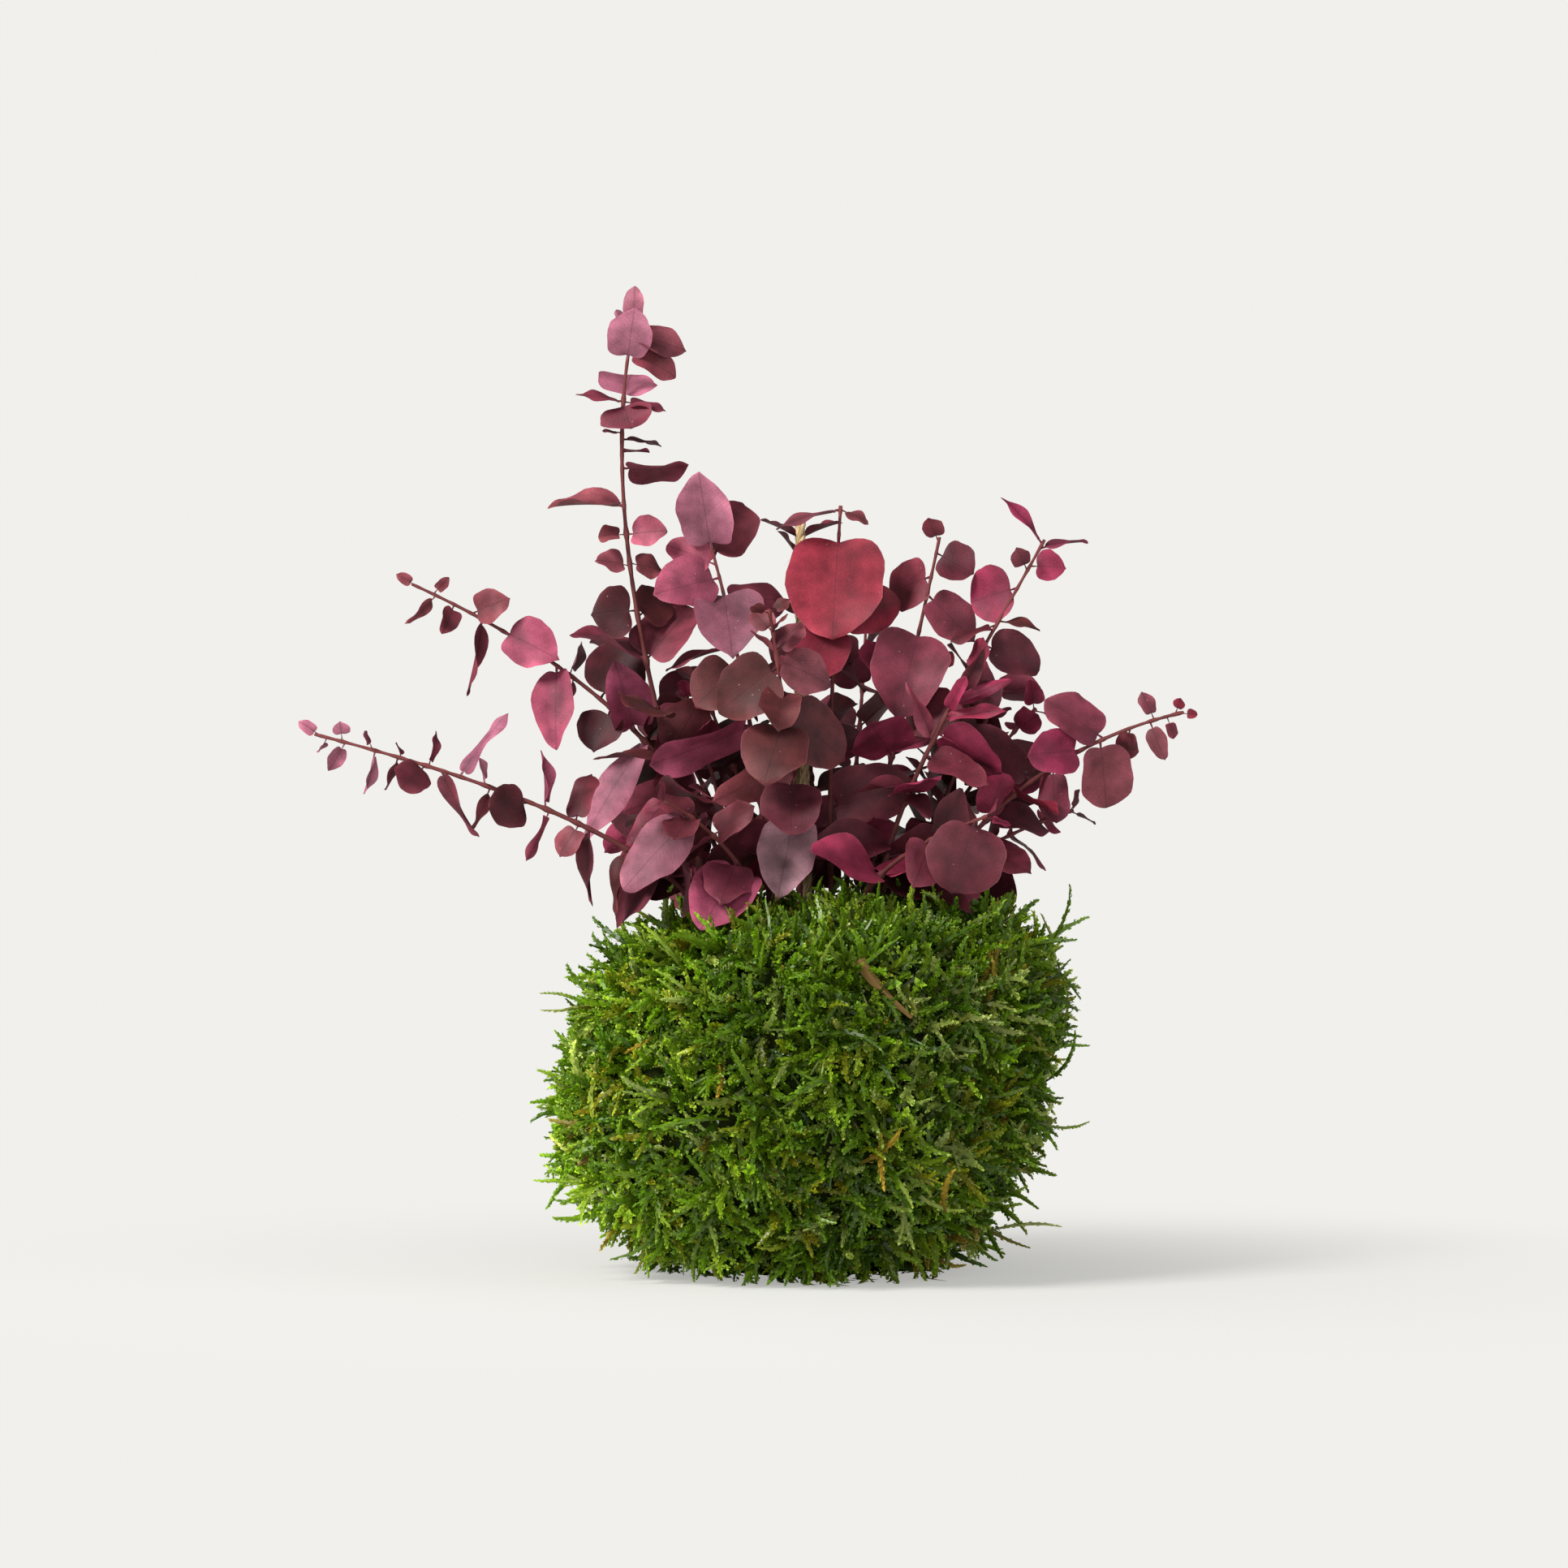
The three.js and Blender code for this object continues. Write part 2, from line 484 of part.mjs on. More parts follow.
// Half of a leaf's outline: broad and heart-shaped at its foot, with a short point. `turn` runs from 0
// at the foot to PI at the tip. The answer is the distance across and along the blade.
function leafOutline(leaf, turn) {
  if (turn < 1e-6) return [0, leaf.seat];
  if (turn > Math.PI - 1e-6) return [0, leaf.length];
  const lobe = turn < Math.PI / 2 ? 0.28 : 0.1;
  const across = (leaf.width / 2) * Math.sin(turn) * (1 + 0.2 * Math.cos(turn));
  const share = 0.93 * ((1 - Math.cos(turn)) / 2 - lobe * Math.sin(turn) * Math.cos(turn));
  return [across, PETIOLE + (leaf.length - PETIOLE) * share];
}

// How far a blade's surface stands off its plane: it arches back towards its tip and cups at its sides.
function bladeRise(leaf, across, along) {
  return leaf.cup * across * across - leaf.arch * along * along;
}

// A sphere with four sides, whose poles become the foot and the tip of the leaf and whose rings become
// flat sections of the blade.
function leafSolid(leaf) {
  const rings = leaf.length > 17 && leaf.width > 10 ? 4 : 3;
  const blade = new THREE.SphereGeometry(1, 4, rings, Math.PI / 4);
  const position = blade.attributes.position;
  for (let i = 0; i < position.count; i += 1) {
    const [across, along] = leafOutline(leaf, Math.acos(position.getY(i)));
    const half = across > 0 ? BLADE_THICKNESS / 2 : 0;
    const rise = bladeRise(leaf, across, along) + half * Math.sign(position.getZ(i));
    position.setXYZ(i, -across * Math.sign(position.getX(i)), along, rise);
  }
  const across = leaf.ahead.clone().cross(leaf.face);
  blade.applyMatrix4(new THREE.Matrix4().makeBasis(across, leaf.ahead, leaf.face));
  blade.translate(leaf.place.x, leaf.place.y, leaf.place.z);
  return toSolid(blade);
}

// A leaf from where it grows, the way it points, roughly where its face looks, and its size.
function leafFrom({ place, radius }, ahead, look, length, width) {
  const face = look.clone().addScaledVector(ahead, -look.dot(ahead)).normalize();
  const seat = LEAF_SEAT * radius;
  return { place, seat, ahead, face, length, width, cup: 0.12 / width, arch: 0.16 / length };
}

function placedLeaf(stem, [share, end, width, face]) {
  const root = alongStem(stem, share);
  const reach = vector(end).sub(root.place);
  const length = reach.length();
  return leafFrom(root, reach.divideScalar(length), vector(face), length, width);
}

// A leaf of a pair set out by rule: pairs stand crosswise to each other, and get smaller towards the
// tip, where they also lie closer to the stem.
function ruledLeaf(stem, row, pair, sideOfPair, bend) {
  const [roll, lift, round, size] = bend;
  const { degToRad } = THREE.MathUtils;
  const share = stem.from + (stem.until - stem.from) * (pair / (stem.pairs - 1)) ** 0.9;
  const root = alongStem(stem, share);
  const { ahead, side, front } = root;
  const seed = pair * 2 + sideOfPair;
  const angle = degToRad(stem.turn + 90 * pair + 180 * sideOfPair + round + 40 * (draw(row, seed, 1) - 0.5));
  const outward = side.clone().multiplyScalar(Math.cos(angle)).addScaledVector(front, Math.sin(angle));
  const rise = degToRad(18 + 34 * share * share + lift + 36 * (draw(row, seed, 2) - 0.5));
  const way = outward.clone().multiplyScalar(Math.cos(rise)).addScaledVector(ahead, Math.sin(rise));
  const level = ahead.clone().addScaledVector(way, -ahead.dot(way)).normalize();
  const turned = degToRad(roll + 100 * (draw(row, seed, 3) - 0.5));
  const face = level.clone().applyAxisAngle(way, turned);
  const grown = 1 - (1 - SMALLEST_LEAF) * share ** 2.6;
  const length = size * stem.leaf * grown * (0.88 + 0.24 * draw(row, seed, 4)) + PETIOLE;
  const [narrow, broad] = LEAF_WIDTH;
  const width = (length - PETIOLE) * (narrow + (broad - narrow) * draw(row, seed, 5));
  return leafFrom(root, way, face, length, width);
}

// Joins each stem's leaves, and keeps every leaf clear of the other stems, the moss and the twine.
function leafyStems(rods, fixed) {
  const grown = rods.map((rod) => ({ rod, leaves: [] }));
  const near = (a, b) => {
    const p = a.boundingBox();
    const q = b.boundingBox();
    return [0, 1, 2].every((k) => p.min[k] - LEAF_GAP < q.max[k] && q.min[k] - LEAF_GAP < p.max[k]);
  };
  const clear = (leaf, row, crossing) =>
    fixed.every((piece) => !near(leaf, piece) || leaf.minGap(piece, LEAF_GAP) >= LEAF_GAP) &&
    grown.every((other, at) => {
      if (at !== row) {
        return [other.rod, ...other.leaves].every(
          (piece) => !near(leaf, piece) || leaf.minGap(piece, LEAF_GAP) >= LEAF_GAP);
      }
      return other.leaves.every(
        (piece) => !near(leaf, piece) || leaf.intersect(piece).volume() < crossing);
    });
  STEMS.forEach((stem, row) => {
    for (const given of stem.placed) {
      const leaf = leafSolid(placedLeaf(stem, given));
      if (clear(leaf, row, PLACED_CROSSING)) grown[row].leaves.push(leaf);
    }
  });
  STEMS.forEach((stem, row) => {
    for (let pair = 0; pair < stem.pairs; pair += 1) {
      for (const sideOfPair of [0, 1]) {
        for (const bend of BENDS) {
          const leaf = leafSolid(ruledLeaf(stem, row, pair, sideOfPair, bend));
          if (clear(leaf, row, RULED_CROSSING)) {
            grown[row].leaves.push(leaf);
            break;
          }
        }
      }
    }
  });
  return grown.map(({ rod, leaves }) => mainBody(wasm.Manifold.union([rod, ...leaves])));
}

// The twine

function twineTube() {
  const route = new THREE.CatmullRomCurve3(TWINE_ROUTE.map(vector));
  const corners = [];
  for (let side = 0; side < TWINE_SIDES; side += 1) {
    const angle = (2 * Math.PI * side) / TWINE_SIDES;
    corners.push(new THREE.Vector2(TWINE_RADIUS * Math.cos(angle), TWINE_RADIUS * Math.sin(angle)));
  }
  const section = new THREE.Shape(corners);
  return toSolid(new THREE.ExtrudeGeometry(section, { steps: TWINE_STEPS, extrudePath: route }));
}

// The straight hole that the twine's buried end stands in.
function twineHole() {
  const { x, y, z } = vector(TWINE_ROUTE[0]);
  const radius = TWINE_RADIUS + FIT_GAP;
  const hole = new THREE.CylinderGeometry(radius, radius, TWINE_HOLE, TWINE_SIDES);
  return toSolid(hole.rotateX(Math.PI / 2).translate(x, y, z + TWINE_HOLE / 2 - FIT_GAP));
}

function twineCoil() {
  const { middle, half, height, bevel } = COIL;
  const profile = [
    [middle - half + bevel, 0], [middle + half - bevel, 0], [middle + half, bevel],
    [middle + half, height - bevel], [middle + half - bevel, height], [middle - half + bevel, height],
    [middle - half, height - bevel], [middle - half, bevel], [middle - half + bevel, 0],
  ].map(([out, up]) => new THREE.Vector2(out, up));
  const ring = new THREE.LatheGeometry(profile, COIL.sides);
  ring.rotateX(Math.PI / 2).translate(COIL.x, COIL.y, LAID_GAP);
  return toSolid(ring);
}

function twineKnot() {
  const knot = new THREE.SphereGeometry(KNOT.radius, KNOT.around, KNOT.rings);
  knot.scale(1, KNOT.length / 2 / KNOT.radius, 1);
  const inside = COIL.middle - COIL.half - FIT_GAP - KNOT.radius;
  knot.translate(COIL.x + inside, COIL.y, KNOT.radius + LAID_GAP);
  return toSolid(knot);
}

// The whole plant

const rods = STEMS.map((stem) => stemRod(stem, 0, STEM_STEPS));
const holes = wasm.Manifold.union([
  ...STEMS.map((stem) => stemRod(stem, FIT_GAP, 2)),
  twineHole(),
]);
const soil = soilBall(MOSS_LAYER).subtract(holes);
const moss = mossSurface().subtract(soilBall(MOSS_LAYER - FIT_GAP)).subtract(holes);
const twineRun = twineTube();

const paint = (color, roughness) => new THREE.MeshStandardMaterial({ color, roughness, metalness: 0 });
const mossGreen = paint(0x4c6a1c, 0.9);
const soilBrown = paint(0x2e2118, 0.95);
const twineStraw = paint(0xd9c08c, 0.85);
const leafColours = [0x8c3a50, 0x74303f, 0x9a4460, 0x6a2b38];

const kokedama = new THREE.Group();
kokedama.add(
  toMesh('moss_cover', mainBody(moss), mossGreen),
  toMesh('soil_ball', mainBody(soil), soilBrown),
  toMesh('twine_run', twineRun, twineStraw),
  toMesh('twine_coil', twineCoil(), twineStraw),
  toMesh('twine_knot', twineKnot(), twineStraw),
);
leafyStems(rods, [moss, twineRun]).forEach((solid, row) => {
  kokedama.add(toMesh(STEMS[row].name, solid, paint(leafColours[row % leafColours.length], 0.7)));
});

export default kokedama;
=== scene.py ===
# %% [markdown]
# # A kokedama with a bunch of dyed eucalyptus
#
# A kokedama is a ball of soil that is wrapped in moss. This one carries a bunch of burgundy eucalyptus stems,
# and a jute twine that it can be hung by. It rests on the small flat foot of its ball.
#
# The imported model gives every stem, the ball and the twine their place and size. The cells below make the
# fine pieces round it: first the camera and the twine, then the leaves, the moss and the soil, and at the
# end the light.

import math

import bpy
import numpy as np
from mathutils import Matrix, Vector
from mathutils.kdtree import KDTree


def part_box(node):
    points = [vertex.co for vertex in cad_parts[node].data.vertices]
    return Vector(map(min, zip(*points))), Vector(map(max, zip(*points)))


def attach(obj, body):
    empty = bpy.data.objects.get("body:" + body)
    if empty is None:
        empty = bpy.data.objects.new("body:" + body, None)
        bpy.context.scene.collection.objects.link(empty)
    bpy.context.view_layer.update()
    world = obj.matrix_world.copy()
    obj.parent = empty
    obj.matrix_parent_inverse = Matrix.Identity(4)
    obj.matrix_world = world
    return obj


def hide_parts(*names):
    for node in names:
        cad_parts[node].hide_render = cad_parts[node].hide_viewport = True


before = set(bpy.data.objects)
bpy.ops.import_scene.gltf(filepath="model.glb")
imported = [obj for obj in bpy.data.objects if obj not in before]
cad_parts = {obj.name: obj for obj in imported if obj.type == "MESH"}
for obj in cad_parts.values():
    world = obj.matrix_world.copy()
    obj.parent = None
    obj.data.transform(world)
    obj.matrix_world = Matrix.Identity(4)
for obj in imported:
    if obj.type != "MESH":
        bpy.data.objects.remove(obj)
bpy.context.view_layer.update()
MM = 0.001

# %% [markdown]
# ## The camera
#
# A camera far away with a long lens shows the plant without leaning lines. It stands level, as high as the
# middle of the picture, and its lens follows from how wide the picture is at the plant.

# %% Camera
VIEW_DISTANCE = 1.5
VIEW_WIDTH = 0.452
VIEW_MIDDLE = (-0.0108, 0.1409)
SENSOR_MM = 36

bpy.ops.object.camera_add(
    location=(VIEW_MIDDLE[0], -VIEW_DISTANCE, VIEW_MIDDLE[1]), rotation=(math.pi / 2, 0, 0)
)
camera = bpy.context.object
camera.name = "camera"
camera.data.sensor_width = SENSOR_MM
camera.data.lens = SENSOR_MM * VIEW_DISTANCE / VIEW_WIDTH
bpy.context.scene.camera = camera
print("lens:", round(camera.data.lens, 1), "mm")

# %% [markdown]
# ## Templates and copies
#
# Leaves, moss scales and twine fibres repeat hundreds of times. Each is modelled once with ordinary edit
# tools, as a small template. Its points are then read as an array, and bent copies of it are gathered into
# one mesh. An array is moved and turned in one step, which is far quicker than one object for each copy,
# and the finished piece is a plain mesh.

# %% Tools for templates
SEED = 11
rng = np.random.default_rng(SEED)


def add(primitive, name, **settings):
    """Adds a primitive with nothing else selected, and names it."""
    bpy.ops.object.select_all(action="DESELECT")
    primitive(**settings)
    made = bpy.context.object
    made.name = name
    return made


def pick(thing, test):
    """Opens edit mode with only those points selected whose place passes a test."""
    bpy.ops.object.mode_set(mode="EDIT")
    bpy.ops.mesh.select_all(action="DESELECT")
    bpy.ops.object.mode_set(mode="OBJECT")
    for point in thing.data.vertices:
        point.select = test(point.co)
    bpy.ops.object.mode_set(mode="EDIT")


def apply_modifier(thing, kind, **settings):
    """Adds a modifier and applies it at once."""
    modifier = thing.modifiers.new(kind.lower(), kind)
    for key, value in settings.items():
        setattr(modifier, key, value)
    bpy.context.view_layer.objects.active = thing
    bpy.ops.object.modifier_apply(modifier=modifier.name)


# %% A template's points and faces
class Shape:
    """A template's points, and its faces as one row of corners with the number of corners of each.

    It takes the place of the Blender object, which is deleted."""

    def __init__(self, thing):
        mesh = thing.data
        self.points = np.array([point.co for point in mesh.vertices])
        self.corners = np.array([corner.vertex_index for corner in mesh.loops])
        self.sizes = np.array([face.loop_total for face in mesh.polygons])
        bpy.data.objects.remove(thing)


# %% Gathering copies
class Copies:
    """Bent copies of templates, gathered to become one piece."""

    def __init__(self):
        self.points, self.corners, self.sizes, self.finishes = [], [], [], []
        self.looks = {}
        self.count = 0

    def add(self, shape, points, finish=0, **looks):
        """points has one row of template points for each copy, and so has each look, or fewer to share."""
        copies, size = points.shape[:2]
        first = self.count + size * np.arange(copies)
        self.points.append(points.reshape(-1, 3))
        self.corners.append((shape.corners[None] + first[:, None]).ravel())
        self.sizes.append(np.tile(shape.sizes, copies))
        self.finishes.append(np.full(copies * len(shape.sizes), finish))
        for name, values in looks.items():
            spread = np.broadcast_to(values, (copies, size, 3)).reshape(-1, 3)
            self.looks.setdefault(name, []).append(spread)
        self.count += copies * size

    def piece(self, name, materials, replaced=(), smooth=True):
        """Makes the mesh, with a colour or vector attribute for each look, and lets it ride on the root."""
        mesh = bpy.data.meshes.new(name)
        sizes = np.concatenate(self.sizes)
        corners = np.concatenate(self.corners)
        mesh.vertices.add(self.count)
        mesh.loops.add(len(corners))
        mesh.polygons.add(len(sizes))
        mesh.vertices.foreach_set("co", (np.concatenate(self.points) * MM).astype(np.float32).ravel())
        mesh.loops.foreach_set("vertex_index", corners.astype(np.int32))
        mesh.polygons.foreach_set("loop_start", (np.cumsum(sizes) - sizes).astype(np.int32))
        mesh.polygons.foreach_set("material_index", np.concatenate(self.finishes).astype(np.int32))
        mesh.polygons.foreach_set("use_smooth", np.full(len(sizes), smooth))
        mesh.update(calc_edges=True)
        for look, parts in self.looks.items():
            values = np.concatenate(parts)
            attribute = mesh.attributes.new(look, "FLOAT_VECTOR", "POINT")
            attribute.data.foreach_set("vector", values.astype(np.float32).ravel())
        for material in materials:
            mesh.materials.append(material)
        made = bpy.data.objects.new(name, mesh)
        bpy.context.collection.objects.link(made)
        return settle(made, replaced)


def settle(made, replaced=()):
    """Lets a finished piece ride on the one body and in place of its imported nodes."""
    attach(made, "root")
    if replaced:
        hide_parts(*replaced)
    triangles = sum(face.loop_total - 2 for face in made.data.polygons)
    print(made.name, len(made.data.vertices), "points,", triangles, "triangles")
    return made


# %% Vectors
def unit(vectors):
    """Vectors of length 1 in the same directions."""
    return vectors / np.linalg.norm(vectors, axis=-1, keepdims=True)


def turned(vector, axis, angle):
    """A vector turned about an axis of length 1."""
    cosine, sine = math.cos(angle), math.sin(angle)
    return vector * cosine + np.cross(axis, vector) * sine + axis * (axis @ vector) * (1 - cosine)


def lengths_along(line):
    """How far along a line of points each of them lies, from 0."""
    return np.concatenate([[0], np.cumsum(np.linalg.norm(np.diff(line, axis=0), axis=1))])


# %% Colours
def linear(red, green, blue):
    """A colour as a picture shows it, 0 to 255, as the linear values that Blender works in.

    The numbers are those of the sRGB standard."""
    share = np.array([red, green, blue]) / 255
    return np.where(share < 0.04045, share / 12.92, ((share + 0.055) / 1.055) ** 2.4)


# %% [markdown]
# ## Shader groups
#
# All finishes here are natural, and none is one flat colour. Two effects are shared: mottling, which makes
# a colour lighter and darker in fine grains and in wide patches, and a height that follows the same grain,
# for a bump. A node group holds both, so that each material places it once with its own scale and strength.
# It reads Object coordinates, in metres, so a scale of 2000 gives grains of half a millimetre.

# %% Shader tools
def node(tree, kind, **values):
    """Adds a shader node. A value is a setting of the node, or the value of a socket of that name."""
    made = tree.nodes.new("ShaderNode" + kind)
    for key, value in values.items():
        if key in made.inputs:
            made.inputs[key].default_value = value
        else:
            setattr(made, key, value)
    return made


# %% The mottling group
MOTTLING_VALUES = ("Grain scale", "Grain strength", "Patch scale", "Patch strength")
GRAIN_DETAIL, PATCH_DETAIL = 3.0, 1.0
NOISE_MIDDLE = 0.5


def mottling_group():
    """Colour in; the same colour mottled and the height of its grain out."""
    group = bpy.data.node_groups.new("mottling", "ShaderNodeTree")
    sockets = group.interface
    sockets.new_socket("Colour", in_out="INPUT", socket_type="NodeSocketColor")
    for name in MOTTLING_VALUES:
        sockets.new_socket(name, in_out="INPUT", socket_type="NodeSocketFloat")
    sockets.new_socket("Colour", in_out="OUTPUT", socket_type="NodeSocketColor")
    sockets.new_socket("Height", in_out="OUTPUT", socket_type="NodeSocketFloat")
    given = group.nodes.new("NodeGroupInput")
    result = group.nodes.new("NodeGroupOutput")
    places = node(group, "TexCoord")
    colour = given.outputs["Colour"]
    height = None
    for part, detail in (("Grain", GRAIN_DETAIL), ("Patch", PATCH_DETAIL)):
        noise = node(group, "TexNoise", Detail=detail, Roughness=0.6)
        group.links.new(places.outputs["Object"], noise.inputs["Vector"])
        group.links.new(given.outputs[part + " scale"], noise.inputs["Scale"])
        centred = node(group, "Math", operation="SUBTRACT")
        centred.inputs[1].default_value = NOISE_MIDDLE
        group.links.new(noise.outputs["Fac"], centred.inputs[0])
        change = node(group, "Math", operation="MULTIPLY_ADD")
        change.inputs[2].default_value = 1.0
        group.links.new(centred.outputs[0], change.inputs[0])
        group.links.new(given.outputs[part + " strength"], change.inputs[1])
        lit = node(group, "VectorMath", operation="SCALE")
        group.links.new(colour, lit.inputs[0])
        group.links.new(change.outputs[0], lit.inputs["Scale"])
        colour = lit.outputs[0]
        height = height or noise.outputs["Fac"]
    group.links.new(colour, result.inputs["Colour"])
    group.links.new(height, result.inputs["Height"])
    return group


MOTTLING = mottling_group()
mottling_sockets = MOTTLING.interface.items_tree
print("mottling takes:", [socket.name for socket in mottling_sockets if socket.in_out == "INPUT"])


# %% A finish
class Finish:
    """A material around one Principled shader, with the mottling group placed in it.

    grain and patch each hold a scale per metre and a strength."""

    def __init__(self, name, roughness, grain, patch, bump_mm=0.0, **shader):
        self.material = bpy.data.materials.new(name)
        self.material.use_nodes = True
        self.tree = self.material.node_tree
        self.tree.nodes.clear()
        self.shader = node(self.tree, "BsdfPrincipled", Roughness=roughness, **shader)
        output = node(self.tree, "OutputMaterial")
        self.join(self.shader.outputs[0], output.inputs["Surface"])
        self.mottling = self.tree.nodes.new("ShaderNodeGroup")
        self.mottling.node_tree = MOTTLING
        for key, value in zip(MOTTLING_VALUES, grain + patch):
            self.mottling.inputs[key].default_value = value
        self.join(self.mottling.outputs["Colour"], self.shader.inputs["Base Color"])
        if bump_mm:
            self.raise_by(self.mottling.outputs["Height"], bump_mm)

    def join(self, start, end):
        """Links an output to an input."""
        self.tree.links.new(start, end)

    def raise_by(self, height, distance_mm, strength=1.0):
        """Raises the surface where height is high."""
        bump = node(self.tree, "Bump", Distance=distance_mm * MM, Strength=strength)
        self.join(height, bump.inputs["Height"])
        self.join(bump.outputs["Normal"], self.shader.inputs["Normal"])

    def colour(self, colour):
        """Gives the mottling its colour: a socket or three values."""
        if isinstance(colour, bpy.types.NodeSocket):
            self.join(colour, self.mottling.inputs["Colour"])
        else:
            self.mottling.inputs["Colour"].default_value = (*colour, 1.0)

    def attribute(self, name):
        """A look that the piece carries on its points."""
        return node(self.tree, "Attribute", attribute_name=name).outputs["Vector"]

    def ramp(self, value, low, high):
        """0 where value is at low and 1 where it is at high, smooth in between."""
        made = node(self.tree, "MapRange", interpolation_type="SMOOTHSTEP")
        made.inputs["From Min"].default_value = low
        made.inputs["From Max"].default_value = high
        self.join(value, made.inputs["Value"])
        return made.outputs["Result"]

    def math(self, operation, first, second=None):
        """A Math node's result. Each value is a socket or a number."""
        made = node(self.tree, "Math", operation=operation)
        for socket, value in zip(made.inputs, (first, second)):
            if isinstance(value, (int, float)):
                socket.default_value = value
            elif value is not None:
                self.join(value, socket)
        return made.outputs[0]

    def mix(self, share, first, second):
        """One colour where share is 0 and the other where it is 1. A colour is a socket or three values."""
        made = node(self.tree, "Mix", data_type="RGBA")
        self.join(share, made.inputs["Factor"])
        for socket, value in ((made.inputs["A"], first), (made.inputs["B"], second)):
            if isinstance(value, bpy.types.NodeSocket):
                self.join(value, socket)
            else:
                socket.default_value = (*value, 1.0)
        return made.outputs["Result"]


# %% [markdown]
# ## The twine
#
# The twine is a loose three-strand jute cord, 3 mm thick and about 0.8 m long. It comes out of the crown,
# climbs through the bunch, lies over the tip of the stem behind it, and falls behind the ball to the table,
# where the rest is wound into a small coil that ends in a knot.
#
# A curve with a round bevel would be a smooth hose. So the path is drawn as a Bezier curve first, and three
# strands are then wound round that path, each a slim tube of its own.

# %% The twine's path
TWINE_ROUTE = [
    (-4, 7, 90), (-4, 7, 106), (-4.6, 7.4, 135), (-5.3, 8, 170), (-6, 8.8, 204), (-6, 9.4, 211),
    (-6, 12, 216.6), (-6, 17, 218.8), (-6, 22, 216.6), (-6, 24.6, 211), (-6, 25.4, 203),
    (-6.2, 26.5, 180), (-6.8, 29, 150), (-7.4, 32, 124), (-8, 36, 115), (-9, 46, 112), (-10, 57, 106.5),
    (-11, 66, 98), (-12, 72.5, 86), (-12, 76, 70), (-12, 77.5, 50), (-12, 78, 30),
    (-12, 78.8, 14), (-12.2, 80.6, 6), (-12.8, 84.5, 2.3), (-13.6, 90, 1.7), (-14, 96.3, 1.7),
]
COIL_MIDDLE = (5, 107)
COIL_START = math.radians(209.4)
COIL_POINTS = 64
OUTER, INNER = 18.6, 15.4
LOW, HIGH = 1.7, 4.6
# How far round, in turns, with the distance from the coil's middle and the height there.
COIL_TURNS = [
    (0.0, 21.8, LOW), (0.12, OUTER, LOW), (0.85, OUTER, LOW), (1.0, OUTER, HIGH), (1.75, OUTER, HIGH),
    (1.86, INNER, HIGH), (2.62, INNER, HIGH), (2.76, INNER, LOW), (3.36, INNER, LOW), (3.523, 11.0, 3.2),
]


def coil_points():
    """The coil's middle line, clockwise as seen from above."""
    turns, out, height = np.array(COIL_TURNS).T
    at = np.linspace(0, turns[-1], COIL_POINTS)[1:]
    angle = COIL_START - 2 * math.pi * at
    far = np.interp(at, turns, out)
    x = COIL_MIDDLE[0] + far * np.cos(angle)
    y = COIL_MIDDLE[1] + far * np.sin(angle)
    return np.stack([x, y, np.interp(at, turns, height)], axis=1)


# %% A smooth line through it
LINE_STEP_MM = 1.0
CURVE_STEPS = 12


def smooth_line(points):
    """A smooth line through points, drawn as a Bezier curve and read at even steps."""
    bpy.ops.object.select_all(action="DESELECT")
    bpy.ops.curve.primitive_bezier_curve_add()
    curve = bpy.context.object
    spline = curve.data.splines[0]
    spline.resolution_u = CURVE_STEPS
    spline.bezier_points.add(len(points) - 2)
    for knot, place in zip(spline.bezier_points, points):
        knot.co = place
        knot.handle_left_type = knot.handle_right_type = "AUTO"
    bpy.ops.object.convert(target="MESH")
    line = np.array([point.co for point in curve.data.vertices])
    bpy.data.objects.remove(curve)
    lengths = lengths_along(line)
    at = np.linspace(0, lengths[-1], int(lengths[-1] / LINE_STEP_MM) + 1)
    return np.stack([np.interp(at, lengths, line[:, k]) for k in range(3)], axis=1)


twine_line = smooth_line(np.vstack([TWINE_ROUTE, coil_points()]))
print("the twine is", round(lengths_along(twine_line)[-1]), "mm long")

# %% A tube along a line
def tube(line, radii, sides):
    """A closed tube along a line of points, with a radius at each. sides is 6 or 8."""
    bpy.ops.object.select_all(action="DESELECT")
    bpy.ops.curve.primitive_nurbs_path_add()
    curve = bpy.context.object
    curve.data.splines.clear()
    spline = curve.data.splines.new("POLY")
    spline.points.add(len(line) - 1)
    spline.points.foreach_set("co", np.column_stack([line, np.ones(len(line))]).ravel())
    spline.points.foreach_set("radius", radii)
    curve.data.bevel_depth = 1.0
    curve.data.bevel_resolution = (sides - 4) // 2
    curve.data.use_fill_caps = True
    bpy.ops.object.convert(target="MESH")
    return Shape(curve)


def frames_along(line):
    """The way ahead at each point of a line, with two ways across that don't spin."""
    ahead = unit(np.gradient(line, axis=0))
    across = np.empty_like(line)
    across[0] = unit(np.cross(ahead[0], (0, 1, 0.01)))
    for i in range(1, len(line)):
        across[i] = unit(across[i - 1] - ahead[i] * (across[i - 1] @ ahead[i]))
    return ahead, across, np.cross(ahead, across)


# %% The strands
STRANDS = 3
STRAND_RADIUS_MM = 0.86
STRAND_OFF_MM = 0.72
STRAND_SIDES = 6
LAY_MM = 11.0
SLUB_EVERY = 4
SLUB_SPREAD = 0.11
SLUB_RANGE = (0.8, 1.2)


